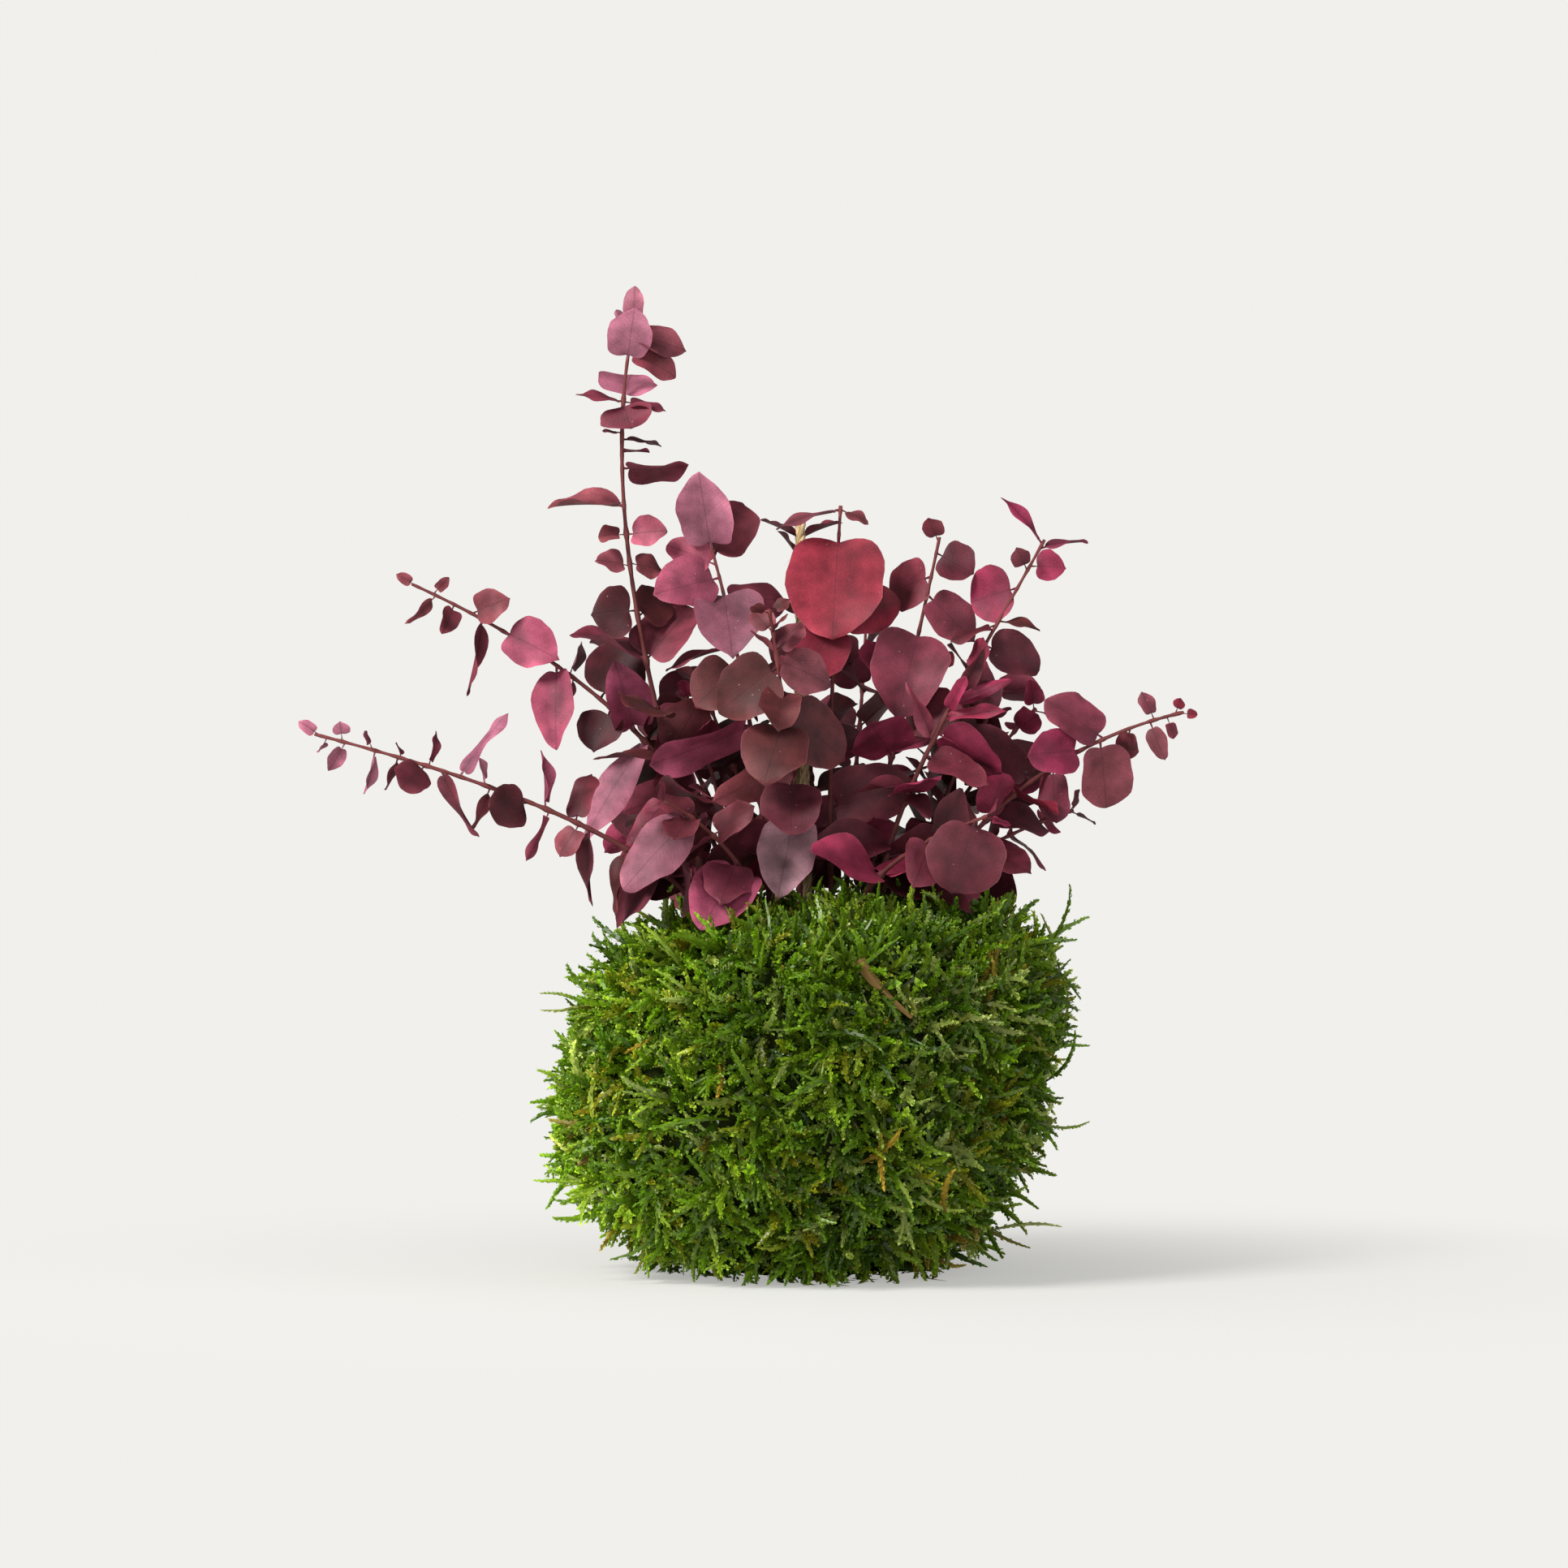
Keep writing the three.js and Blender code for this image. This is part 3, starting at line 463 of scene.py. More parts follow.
def wind(copies, line, scale=1.0):
    """Winds the strands round a line, each with slubs, the uneven thickness of spun jute."""
    ahead, side, front = frames_along(line)
    along = lengths_along(line)
    for strand in range(STRANDS):
        phase = 2 * math.pi * (along / LAY_MM / scale + strand / STRANDS)
        outward = side * np.cos(phase)[:, None] + front * np.sin(phase)[:, None]
        knobs = along[::SLUB_EVERY]
        slubs = 1 + SLUB_SPREAD * np.interp(along, knobs, rng.standard_normal(len(knobs)))
        radii = STRAND_RADIUS_MM * scale * np.clip(slubs, *SLUB_RANGE)
        made = tube(line + outward * STRAND_OFF_MM * scale, radii, STRAND_SIDES)
        corner = np.arange(len(made.points))
        ring = np.minimum(corner // STRAND_SIDES, len(line) - 1)
        round_it = corner % STRAND_SIDES / STRAND_SIDES
        streak = np.stack([along[ring], round_it, np.full(len(ring), rng.random())], axis=1)
        copies.add(made, made.points[None], streak=streak)


twine_copies = Copies()
wind(twine_copies, twine_line)

# %% [markdown]
# ### The twine's finish, knot and fuzz
#
# Jute is pale straw with a dull gloss. Its fibres run along each strand, so the colour changes in long
# thin streaks. Every strand carries its own place along and round it as a look called streak, and a noise
# that is stretched along that place paints the fibres and raises them.
#
# The knot is a short piece of the same twine, wound along the line of an overhand knot. Loose fibres stand
# off the twine everywhere: a thin bent cone is modelled once and copied along the path.

# %% Jute
STRAW = linear(226, 202, 158)
STRAW_SHADE = linear(150, 118, 74)
# How fast the streaks change along a strand, round it and from one strand to the next.
STREAKS = (0.25, 9.0, 37.0)


def jute_finish():
    """Pale straw with darker fibres along each strand, and a bump from the same fibres."""
    jute = Finish("jute", 0.8, (1800, 0.35), (60, 0.25), **{"Specular IOR Level": 0.25})
    stretch = node(jute.tree, "VectorMath", operation="MULTIPLY")
    stretch.inputs[1].default_value = STREAKS
    jute.join(jute.attribute("streak"), stretch.inputs[0])
    fibres = node(jute.tree, "TexNoise", Scale=1.0, Detail=2.0)
    jute.join(stretch.outputs[0], fibres.inputs["Vector"])
    share = jute.ramp(fibres.outputs["Fac"], 0.3, 0.62)
    jute.colour(jute.mix(share, STRAW_SHADE, STRAW))
    jute.raise_by(fibres.outputs["Fac"], 0.25, strength=0.8)
    return jute.material


jute = jute_finish()
twine = twine_copies.piece("twine_strands", [jute], ["twine_run", "twine_coil"])

# %% The knot
knot_low, knot_high = (np.array(corner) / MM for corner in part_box("twine_knot"))
knot_middle = (knot_low + knot_high) / 2
knot_half = (knot_high - knot_low) / 2
KNOT_POINTS = 60
KNOT_OPEN = 0.1
KNOT_STRETCH = (1.15, 1.1, 0.9)
PULLED_TIGHT = 0.72
KNOT_TWINE_RADIUS_MM = 1.2


def knot_line():
    """An overhand knot: a trefoil, opened where its ends leave it."""
    turn = np.linspace(KNOT_OPEN, 2 * math.pi - KNOT_OPEN, KNOT_POINTS)
    x = (np.sin(turn) + 2 * np.sin(2 * turn)) / 3
    y = (np.cos(turn) - 2 * np.cos(2 * turn)) / 3
    trefoil = np.stack([x, y, -np.sin(3 * turn)], axis=1)
    return knot_middle + trefoil * (knot_half - KNOT_TWINE_RADIUS_MM) * KNOT_STRETCH


knot_copies = Copies()
wind(knot_copies, knot_line(), scale=PULLED_TIGHT)
twine_knot = knot_copies.piece("twine_end_knot", [jute], ["twine_knot"])

# %% Upright templates, bent and aimed
NEARLY_UPRIGHT = 0.9


def upright(primitive, name, cuts, **settings):
    """A template 1 high that stands on the origin, cut across at some heights so that it can bend."""
    made = add(primitive, name, depth=1, location=(0, 0, 0.5), **settings)
    bpy.ops.object.transform_apply()
    bpy.ops.object.mode_set(mode="EDIT")
    for cut in cuts:
        bpy.ops.mesh.select_all(action="SELECT")
        bpy.ops.mesh.bisect(plane_co=(0, 0, cut), plane_no=(0, 0, 1))
    bpy.ops.object.mode_set(mode="OBJECT")
    return Shape(made)


def bent(points, length, bend, girth):
    """Copies of an upright template, each bent over towards +x by an angle.

    The template's height is a share of its length, and its width is in mm."""
    angle = bend[:, None] * points[:, 2]
    curve = (length / bend)[:, None]
    wide = points[None, :, :2] * girth[:, None, None]
    x = curve * (1 - np.cos(angle)) + wide[..., 0] * np.cos(angle)
    z = curve * np.sin(angle) - wide[..., 0] * np.sin(angle)
    return np.stack([x, wide[..., 1], z], axis=2)


def aimed(points, way, roll):
    """Turns copies so that their height points along way, rolled about it."""
    helper = np.where(np.abs(way[:, 2:]) < NEARLY_UPRIGHT, (0.0, 0.0, 1.0), (1.0, 0.0, 0.0))
    first = unit(np.cross(helper, way))
    second = np.cross(way, first)
    x = first * np.cos(roll)[:, None] + second * np.sin(roll)[:, None]
    return points @ np.stack([x, np.cross(way, x), way], axis=1)


# %% Loose fibres
FIBRES = 420
FIBRE_LENGTH_MM = (3.0, 9.0)
FIBRE_RADIUS_MM = 0.055
FIBRE_LIFT = (0.35, 1.1)
FIBRE_BEND = (0.3, 2.2)
FIBRE_ROOT_MM = 0.9
FIBRE_LOWEST_MM = 0.35
FIBRE_STREAK = np.array([1.0, 0.5, 0.3])
BARE_START, BARE_END = 20, 25

fibre = upright(bpy.ops.mesh.primitive_cone_add, "fibre", (0.33, 0.66), vertices=3, radius1=1, radius2=0.3)


def twine_fuzz():
    """Fibres that lie nearly along the twine and lift off it. Each starts inside a strand."""
    ahead, side, front = frames_along(twine_line)
    at = rng.integers(BARE_START, len(twine_line) - BARE_END, FIBRES)
    round_it = rng.random(FIBRES) * 2 * math.pi
    outward = side[at] * np.cos(round_it)[:, None] + front[at] * np.sin(round_it)[:, None]
    lift = rng.uniform(*FIBRE_LIFT, (FIBRES, 1))
    way = unit(outward * lift + ahead[at] * rng.choice((-1, 1), (FIBRES, 1)))
    length = rng.uniform(*FIBRE_LENGTH_MM, FIBRES)
    curled = bent(fibre.points, length, rng.uniform(*FIBRE_BEND, FIBRES), np.full(FIBRES, FIBRE_RADIUS_MM))
    points = twine_line[at][:, None] + outward[:, None] * FIBRE_ROOT_MM + aimed(curled, way, round_it)
    points[:, :, 2] = np.maximum(points[:, :, 2], FIBRE_LOWEST_MM)
    copies = Copies()
    copies.add(fibre, points, streak=FIBRE_STREAK)
    return copies.piece("twine_fibres", [jute])


twine_fibres = twine_fuzz()

# %% [markdown]
# ## The eucalyptus stems
#
# The table below is the one that the imported model was made from. Each stem is a Bezier curve with its four
# points in mm. Its leaves stand in pairs. Those that show most are placed one by one, by where they grow on
# the stem, where their tip reaches, how wide they are and where their face looks. The others follow a rule.
#
# In placed, a leaf has its share of the way up the stem, its tip, its width and the way its face looks. Each
# letter in tones names the dye of one placed leaf, and the letters in rest are drawn from for the others.
# Real preserved leaves take the dye unevenly, from dusty pink through crimson to nearly black. The nearly
# black dye n is also painted shade: the inner stems and the cradle draw it to darken the leaves deep in the
# bunch.

# %% Leaf dyes
DYES = {
    "p": linear(158, 72, 96),  # bright pink
    "q": linear(166, 100, 120),  # dusty pink
    "m": linear(142, 44, 72),  # magenta
    "c": linear(126, 34, 50),  # crimson
    "r": linear(140, 42, 60),  # clear red
    "s": linear(130, 64, 73),  # dusty rose
    "v": linear(132, 76, 92),  # mauve
    "k": linear(116, 48, 63),  # mulberry
    "b": linear(90, 34, 44),  # burgundy
    "d": linear(90, 40, 42),  # brown burgundy
    # n is nearly black; on the inner stems it is painted shade deep in the bunch.
    "n": linear(68, 20, 27),  # nearly black
    "g": linear(140, 104, 110),  # grey mauve
}
print("dyes:", len(DYES))

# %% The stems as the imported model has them
STEMS = [
    dict(
        name="tall_left", foot=(-31, 0, 104), rise=(-45, -2, 150), reach=(-66, -6, 218),
        tip=(-53.5, -8, 275), pairs=5, start=0.1, end=0.45, leaf=23, turn=15,
        tones="qqqssqkkkbbbksspssnd", rest="bkd",
        placed=[
            (0.985, (-53.5, -10, 284), 6, (0, -1, 0.1)), (0.97, (-59, -6, 278), 3.5, (0.4, -1, 0)),
            (0.925, (-53.6, -13, 277), 13, (0, -1, 0.15)),
            (0.972, (-37.6, -4, 266.5), 9.5, (0.15, -1, 0.55)),
            (0.943, (-40.2, -6, 258.5), 9, (0.15, -1, 0.5)), (0.865, (-54.5, 3, 262), 17, (0, -1, 0.2)),
            (0.86, (-70, -12, 254), 7, (0, -0.5, 1)), (0.862, (-54.8, -13, 243.5), 15.5, (0, -1, -0.1)),
            (0.86, (-44.5, -8, 250), 7, (0.3, -0.5, 0.8)), (0.81, (-62.5, -10, 243), 6, (0, -0.15, 1)),
            (0.78, (-49.6, -13, 237.5), 6, (0, -0.1, 1)), (0.8, (-45.6, -1, 241), 7, (0, -0.15, 1)),
            (0.755, (-37.7, -10, 229), 13, (0.1, -0.4, -0.9)), (0.695, (-79, -8, 225), 13, (0, -0.2, 1)),
            (0.65, (-64.5, -6, 213), 9, (0, -0.5, 0.8)), (0.65, (-44.5, -11, 214), 9, (0.2, -0.9, 0.3)),
            (0.6, (-64, -9, 206.5), 9, (0, -0.7, 0.7)), (0.605, (-45, -2, 203), 9, (0.2, -0.8, 0.6)),
            (0.53, (-66.5, -6, 190), 15, (0.1, -1, 0.2)), (0.52, (-43.5, 4, 197), 13, (0.2, -1, 0.1)),
        ],
    ),
    dict(
        name="upper_left", foot=(-25, 10, 105), rise=(-33, 12, 143), reach=(-66, 14, 175),
        tip=(-119, 12, 199), pairs=5, start=0.1, end=0.46, leaf=21, turn=55,
        tones="ssskskppgknpnq", rest="kbd",
        placed=[
            (0.99, (-123, 10, 202), 3.5, (0, -1, 0.3)), (0.96, (-108, 8, 200.5), 3.5, (0.3, -1, 0)),
            (0.955, (-118.5, 6, 186.5), 3.5, (1, -0.4, 0)), (0.92, (-109, 4, 184.5), 6, (0.5, -1, 0)),
            (0.885, (-91, 6, 195), 10, (0.1, -1, 0.3)), (0.865, (-100, 8, 165), 6, (1, -0.3, 0)),
            (0.82, (-77, 4, 178), 14.5, (-0.1, -1, 0.2)), (0.7, (-78, 2, 151), 12, (-0.3, -1, 0)),
            (0.67, (-68, 15, 182), 5.5, (1, -0.4, 0)), (0.66, (-73, 17, 162), 5.5, (1, -0.5, 0)),
            (0.59, (-53, 12, 184), 19, (-0.3, -1, 0.25)), (0.49, (-58, -1, 175), 14, (0.25, -1, 0.1)),
            (0.56, (-66.5, 6, 151.5), 14, (-0.3, -1, 0.1)), (0.46, (-73, 4, 124), 10.5, (-0.7, -0.8, 0.1)),
        ],
    ),
    dict(
        name="lower_left", foot=(-33, -10, 103), rise=(-46, -14, 122), reach=(-85, -22, 140),
        tip=(-144, -24, 155), pairs=3, start=0.12, end=0.3, leaf=21, turn=80,
        tones="qqqqsqkkbkkqqsnppbsbdk", rest="kbd",
        placed=[
            (0.99, (-148, -26, 159), 4, (0, -1, 0.4)), (0.98, (-142.5, -21, 149), 3.5, (1, -0.6, 0)),
            (0.955, (-136.5, -25, 158.5), 5, (0.2, -1, 0)), (0.95, (-139.5, -24, 144), 5, (0.6, -1, 0)),
            (0.905, (-128.5, -27, 156), 3.5, (1, -0.4, 0)), (0.9, (-128.5, -21, 137), 4, (1, -0.5, 0)),
            (0.855, (-120, -19, 153), 3.5, (1, -0.5, 0)), (0.86, (-123, -18, 138), 4, (1, -0.5, 0)),
            (0.81, (-118, -32, 141), 11, (0, -1, 0.1)), (0.805, (-108, -18, 156), 4, (1, -0.5, 0)),
            (0.78, (-100.5, -24, 124), 5.5, (-0.8, -0.5, 0.3)),
            (0.745, (-91.5, -22, 163.5), 5.5, (-0.8, -0.5, -0.3)),
            (0.695, (-96, -26, 148.5), 4, (1, -0.5, 0)), (0.685, (-98, -20, 126.5), 5, (1, -0.5, 0)),
            (0.6, (-94, -28, 134), 13, (0, -1, 0.1)), (0.565, (-77, -18, 151), 5, (1, -0.5, 0)),
            (0.555, (-82, -23, 118), 5, (1, -0.5, 0)), (0.49, (-68, -10, 146), 9, (-0.5, -1, 0)),
            (0.48, (-75, -22, 121), 8, (-0.3, -1, 0.4)), (0.455, (-69, -18, 106), 6, (-0.8, -0.5, 0.3)),
            (0.35, (-61.5, -22, 104), 7, (-0.8, -0.6, 0.2)), (0.34, (-45, -9, 138), 8, (-0.3, -1, 0.5)),
        ],
    ),
    dict(
        name="centre_left", foot=(-15, -3, 106), rise=(-17, -8, 140), reach=(-22, -10, 175),
        tip=(-32, -6, 210), pairs=4, start=0.14, end=0.55, leaf=23, turn=30,
        tones="qbppvkkdp", rest="kqb",
        placed=[
            (0.985, (-36, -20, 229), 17, (-0.3, -1, 0.5)), (0.965, (-21.5, 9, 225), 16, (0.4, -0.9, 0.6)),
            (0.94, (-45, -6, 211), 10, (0, -1, 0.4)), (0.905, (-48, -17, 196), 16, (0, -1, 0.4)),
            (0.87, (-25, -24, 180), 20.5, (0.1, -1, 0.4)), (0.845, (-8, 0, 196), 13, (0.1, -0.9, 0.5)),
            (0.72, (-47, -3, 177), 8, (0, -0.4, 1)), (0.66, (-36, -16, 164), 18, (-0.3, -1, 0)),
            (0.5, (-49, -17, 143.5), 14, (-0.1, -0.7, -0.7)),
        ],
    ),
    dict(
        name="centre", foot=(3, 3, 106), rise=(2, 2, 140), reach=(3, -2, 180),
        tip=(5.5, -3, 221), pairs=5, start=0.12, end=0.62, leaf=24, turn=75,
        tones="ssrcck", rest="kbb",
        placed=[
            (0.99, (-14.5, -6, 217.5), 12, (0, -0.2, 1)), (0.99, (14, -5, 217), 10, (0.1, -0.2, 1)),
            (0.93, (3, -13, 182), 28, (0, -1, 0.25)), (0.72, (-6, -16, 170), 17, (0.1, -1, 0.3)),
            (0.745, (24, -1, 194), 15, (0.1, -1, 0.2)), (0.62, (15, 9, 170), 11, (0, -0.6, 0.8)),
        ],
    ),
    dict(
        name="centre_right", foot=(13, 2, 106), rise=(17, 2, 140), reach=(27, 0, 178),
        tip=(34, -2, 212), pairs=5, start=0.14, end=0.64, leaf=23, turn=60,
        tones="bbkkk", rest="bcm",
        placed=[
            (0.985, (31, 0, 218.5), 6.5, (0.2, -1, 0)), (0.955, (43, -8, 202.5), 12.5, (0.1, -1, 0.2)),
            (0.89, (16, 9, 196), 15, (-0.3, -1, 0.2)), (0.84, (45, -4, 182.5), 13, (0.2, -1, 0.2)),
            (0.745, (22, -14, 161.5), 22, (0, -1, 0.2)),
        ],
    ),
    dict(
        name="high_right", foot=(16, -10, 105), rise=(18, -14, 135), reach=(40, -12, 168),
        tip=(64, -6, 211), pairs=4, start=0.16, end=0.68, leaf=22, turn=20,
        tones="mkmkmdbbpbmmmkkbbn", rest="bmk",
        placed=[
            (0.99, (54.5, -8, 225), 4, (0.8, -0.6, 0.3)), (0.98, (76.5, -5, 213.5), 5, (-0.2, -0.3, 1)),
            (0.94, (70, -9, 203.5), 9, (0.1, -1, 0.3)), (0.93, (56, -12, 208), 6, (0, -1, 0)),
            (0.89, (41.5, -4, 193), 16.5, (0, -1, 0.15)), (0.81, (63, -12, 187), 7, (0, -0.25, 1)),
            (0.8, (36, -14, 183.5), 7, (0, -0.35, 1)), (0.75, (64.5, -8, 175), 13, (0.2, -0.9, 0.4)),
            (0.5, (26, -18, 171), 7, (0.9, -0.5, 0)), (0.62, (47, -20, 178), 4.5, (0.4, -1, 0)),
            (0.6, (54, -19, 171), 4, (0.2, -1, 0.2)), (0.575, (40, -22, 171.5), 5, (-0.4, -1, 0.2)),
            (0.56, (51, -21, 163.5), 4.5, (0.2, -1, 0.5)), (0.46, (48, -19, 144), 13, (0, -0.6, 0.8)),
            (0.38, (8, -20, 141.5), 7, (0, -0.25, 1)), (0.36, (31, -24, 133), 7, (0, -0.25, 1)),
            (0.21, (-4, -25, 124), 13, (0, -0.8, 0.6)), (0.11, (42, -27, 110), 16, (0, -0.6, 0.8)),
        ],
    ),
    dict(
        name="far_right", foot=(28, -3, 104), rise=(38, -4, 124), reach=(62, -8, 152),
        tip=(104, -6, 161.5), pairs=4, start=0.16, end=0.52, leaf=21, turn=50,
        tones="cckssskmskb", rest="bmc",
        placed=[
            (0.99, (108, -7, 161), 3, (0, -1, 0.2)), (0.98, (103.5, -4, 166), 3.5, (0.2, -1, 0.3)),
            (0.96, (101.5, -9, 154.5), 4, (0.5, -1, 0)), (0.93, (92.5, -6, 168), 5, (0.4, -1, 0)),
            (0.92, (98, -9, 147.5), 5.5, (-0.4, -1, 0)), (0.87, (87, 3, 146.5), 7, (-0.3, -1, 0)),
            (0.8, (65, -11, 167), 14, (-0.1, -0.8, 0.6)), (0.735, (60, -17, 150), 14, (-0.2, -1, 0.2)),
            (0.79, (83, -4, 132.5), 16, (0.3, -1, 0)), (0.65, (66.5, -8, 129), 10, (-0.5, -1, 0)),
            (0.58, (43, -3, 160), 12, (0, -0.8, 0.6)),
        ],
    ),
    dict(
        name="front", foot=(-6, -15, 105), rise=(-7, -19, 130), reach=(-10, -34, 160),
        tip=(-15, -40, 190), pairs=3, start=0.86, end=0.985, leaf=19, turn=25,
        tones="ddsddsbg", rest="sd",
        placed=[
            (0.82, (-31, -35, 160.5), 18, (-0.2, -1, 0.1)), (0.75, (-12, -49, 158), 12, (0.1, -1, 0.5)),
            (0.84, (4, -36, 170), 13, (0.3, -0.9, 0.4)), (0.68, (9, -27, 148), 19, (0.4, -1, 0.2)),
            (0.645, (-16.5, -46, 143.5), 19, (-0.1, -1, 0.35)),
            (0.52, (-31, -30, 134), 12, (-0.2, -0.8, -0.5)), (0.46, (-8.5, -41, 128.5), 17.5, (0, -1, 0.6)),
            (0.34, (-12.5, -39, 111.5), 16.5, (-0.05, -1, 0.2)),
        ],
    ),
    dict(
        name="low_left", foot=(-17, -19, 104), rise=(-22, -26, 120), reach=(-33, -36, 130),
        tip=(-44, -44, 136), pairs=4, start=0.35, end=0.985, leaf=20, turn=70,
        tones="vp", rest="kbd",
        placed=[
            (0.78, (-58, -45, 112.5), 15, (-0.3, -1, 0.4)),
            (0.3, (-33.5, -45, 103.5), 18.5, (0.05, -1, 0.6)),
        ],
    ),
    dict(
        name="low_right", foot=(10, -22, 104), rise=(14, -28, 118), reach=(30, -42, 126),
        tip=(46, -50, 132), pairs=3, start=0.3, end=0.985, leaf=22, turn=45,
        tones="b", rest="bmk",
        placed=[
            (0.93, (36, -53, 110.5), 22, (0.1, -1, 0.2)),
        ],
    ),
    # The n in the rest of these inner stems and of the cradle is painted shade for the leaves deep in the
    # bunch.
    dict(
        name="inner_left", foot=(-23, 3, 105), rise=(-27, 4, 128), reach=(-32, 5, 148),
        tip=(-39, 5, 166), pairs=6, start=0.14, end=0.985, leaf=23, turn=5,
        rest="kdnm",
    ),
    dict(
        name="inner_right", foot=(23, 3, 105), rise=(29, 4, 126), reach=(39, 5, 144),
        tip=(48, 6, 160), pairs=6, start=0.14, end=0.985, leaf=24, turn=40,
        rest="bmnk",
    ),
    dict(
        name="mid_right", foot=(25, 9, 104), rise=(33, 12, 128), reach=(48, 18, 148),
        tip=(63, 24, 163), pairs=7, start=0.16, end=0.985, leaf=23, turn=10,
        rest="bmnd",
    ),
    dict(
        name="mid_left", foot=(-13, 9, 106), rise=(-18, 10, 130), reach=(-28, 16, 152),
        tip=(-35, 24, 170), pairs=7, start=0.14, end=0.985, leaf=24, turn=40,
        rest="kbdn",
    ),
    dict(
        name="cradle", foot=(-3, 17, 105), rise=(-1, 22, 140), reach=(-6, 18, 180),
        tip=(-6, 17, 216.3), pairs=6, start=0.14, end=0.9, leaf=22, turn=40,
        tones="kk", rest="nbdb",
        placed=[
            (0.965, (-17, 17, 220), 9, (0.4, 0, 1)), (0.965, (5, 17, 220), 9, (-0.4, 0, 1)),
        ],
    ),
    dict(
        name="back_left", foot=(-20, 22, 103), rise=(-26, 30, 130), reach=(-44, 48, 158),
        tip=(-62, 62, 184), pairs=7, start=0.14, end=0.985, leaf=24, turn=0,
        rest="kbpm",
    ),
    dict(
        name="back", foot=(7, 20, 105), rise=(9, 30, 135), reach=(13, 52, 165),
        tip=(14, 72, 192), pairs=7, start=0.14, end=0.985, leaf=24, turn=35,
        tones="bb", rest="bkmd",
        placed=[
            (0.13, (-10, 27, 117), 14, (0, -1, 0.3)), (0.11, (25, 30, 116), 14, (0.1, -1, 0.3)),
        ],
    ),
    dict(
        name="back_right", foot=(18, 22, 103), rise=(26, 32, 130), reach=(42, 50, 156),
        tip=(60, 66, 178), pairs=7, start=0.14, end=0.985, leaf=23, turn=65,
        rest="mbkc",
    ),
    dict(
        name="low_back", foot=(-26, 31, 101), rise=(-32, 40, 116), reach=(-48, 64, 126),
        tip=(-62, 88, 132), pairs=6, start=0.2, end=0.985, leaf=22, turn=25,
        tones="mk", rest="kbmd",
        placed=[
            (0.26, (-12, 44, 117), 15, (0, -1, 0.3)), (0.22, (-46, 40, 111), 16, (0, -1, 0.3)),
        ],
    ),
    dict(
        name="low_back_right", foot=(27, 29, 101), rise=(34, 36, 116), reach=(54, 52, 126),
        tip=(76, 62, 133), pairs=6, start=0.2, end=0.985, leaf=21, turn=80,
        tones="bd", rest="bkm",
        placed=[
            (0.22, (10, 42, 117), 15, (0, -1, 0.3)), (0.2, (48, 34, 111), 16, (0, -1, 0.3)),
        ],
    ),
]
placed_count = sum(len(stem.get("placed", ())) for stem in STEMS)
print("stems:", len(STEMS), "leaves placed one by one:", placed_count)

# %% [markdown]
# ### Finding the leaves again
#
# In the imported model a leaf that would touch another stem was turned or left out. So the rule gives several
# candidates for a leaf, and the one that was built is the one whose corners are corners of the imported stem.
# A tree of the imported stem's points makes that search quick.
#
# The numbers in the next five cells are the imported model's own, so they have to stay as they are.

# %% Where a stem runs
STEM_RADIUS_MM = (1.4, 0.65)
BACK = np.array((0.0, 1.0, 0.0))


def along_stem(stem, share):
    """Where a stem runs: the place, the way ahead, two ways across and the radius, in mm."""
    foot, rise, reach, tip = (np.array(stem[name], float) for name in ("foot", "rise", "reach", "tip"))
    left = 1 - share
    place = foot * left**3 + rise * 3 * left**2 * share + reach * 3 * left * share**2 + tip * share**3
    ahead = unit((rise - foot) * left**2 + (reach - rise) * 2 * left * share + (tip - reach) * share**2)
    side = unit(np.cross(ahead, BACK))
    low, high = STEM_RADIUS_MM
    return place, ahead, side, np.cross(ahead, side), low + (high - low) * share


# %% A leaf from its place, ways and size
CUP, ARCH = 0.12, 0.16


def leaf_from(place, ahead, look, length, width, share, tone):
    """A leaf's foot and three ways, its size in mm, how it cups and arches, and its dye."""
    face = unit(look - ahead * (look @ ahead))
    return dict(
        place=place, ahead=ahead, face=face, across=np.cross(ahead, face), length=length, width=width,
        cup=CUP / width, arch=ARCH / length, share=share, tone=tone,
    )


def placed_leaf(stem, given, tone):
    """A leaf that the table places."""
    share, end, width, look = given
    place = along_stem(stem, share)[0]
    reach = np.array(end) - place
    length = float(np.linalg.norm(reach))
    return leaf_from(place, reach / length, np.array(look, float), length, width, share, tone)


# %% The rule for the leaves in pairs
PETIOLE_MM = 2.2
# Degrees of roll, lift and turn round the stem, and the size, of a leaf that had to give way.
BENDS = [
    (0, 0, 0, 1), (35, 0, 0, 1), (-35, 0, 0, 1), (0, 25, 0, 1), (0, -25, 0, 1), (0, 0, 30, 0.9),
    (0, 0, -30, 0.9), (60, 15, 0, 0.75), (-60, 15, 0, 0.75), (0, 40, 0, 0.65),
]
CLOSER_PAIRS = 0.9
TURN_SPREAD = 40
LIFT, LIFT_AT_TIP, LIFT_SPREAD = 18, 34, 36
ROLL_SPREAD = 100
SMALLEST_LEAF = 0.26
SHRINKING = 2.6
LENGTH_FROM, LENGTH_SPREAD = 0.88, 0.24
LEAF_WIDTH = (0.7, 0.92)


def draw(a, b, c):
    """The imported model's repeatable draw between 0 and 1 for three whole numbers."""
    value = math.sin(a * 12.9898 + b * 78.233 + c * 37.719) * 43758.5453
    return value - math.floor(value)


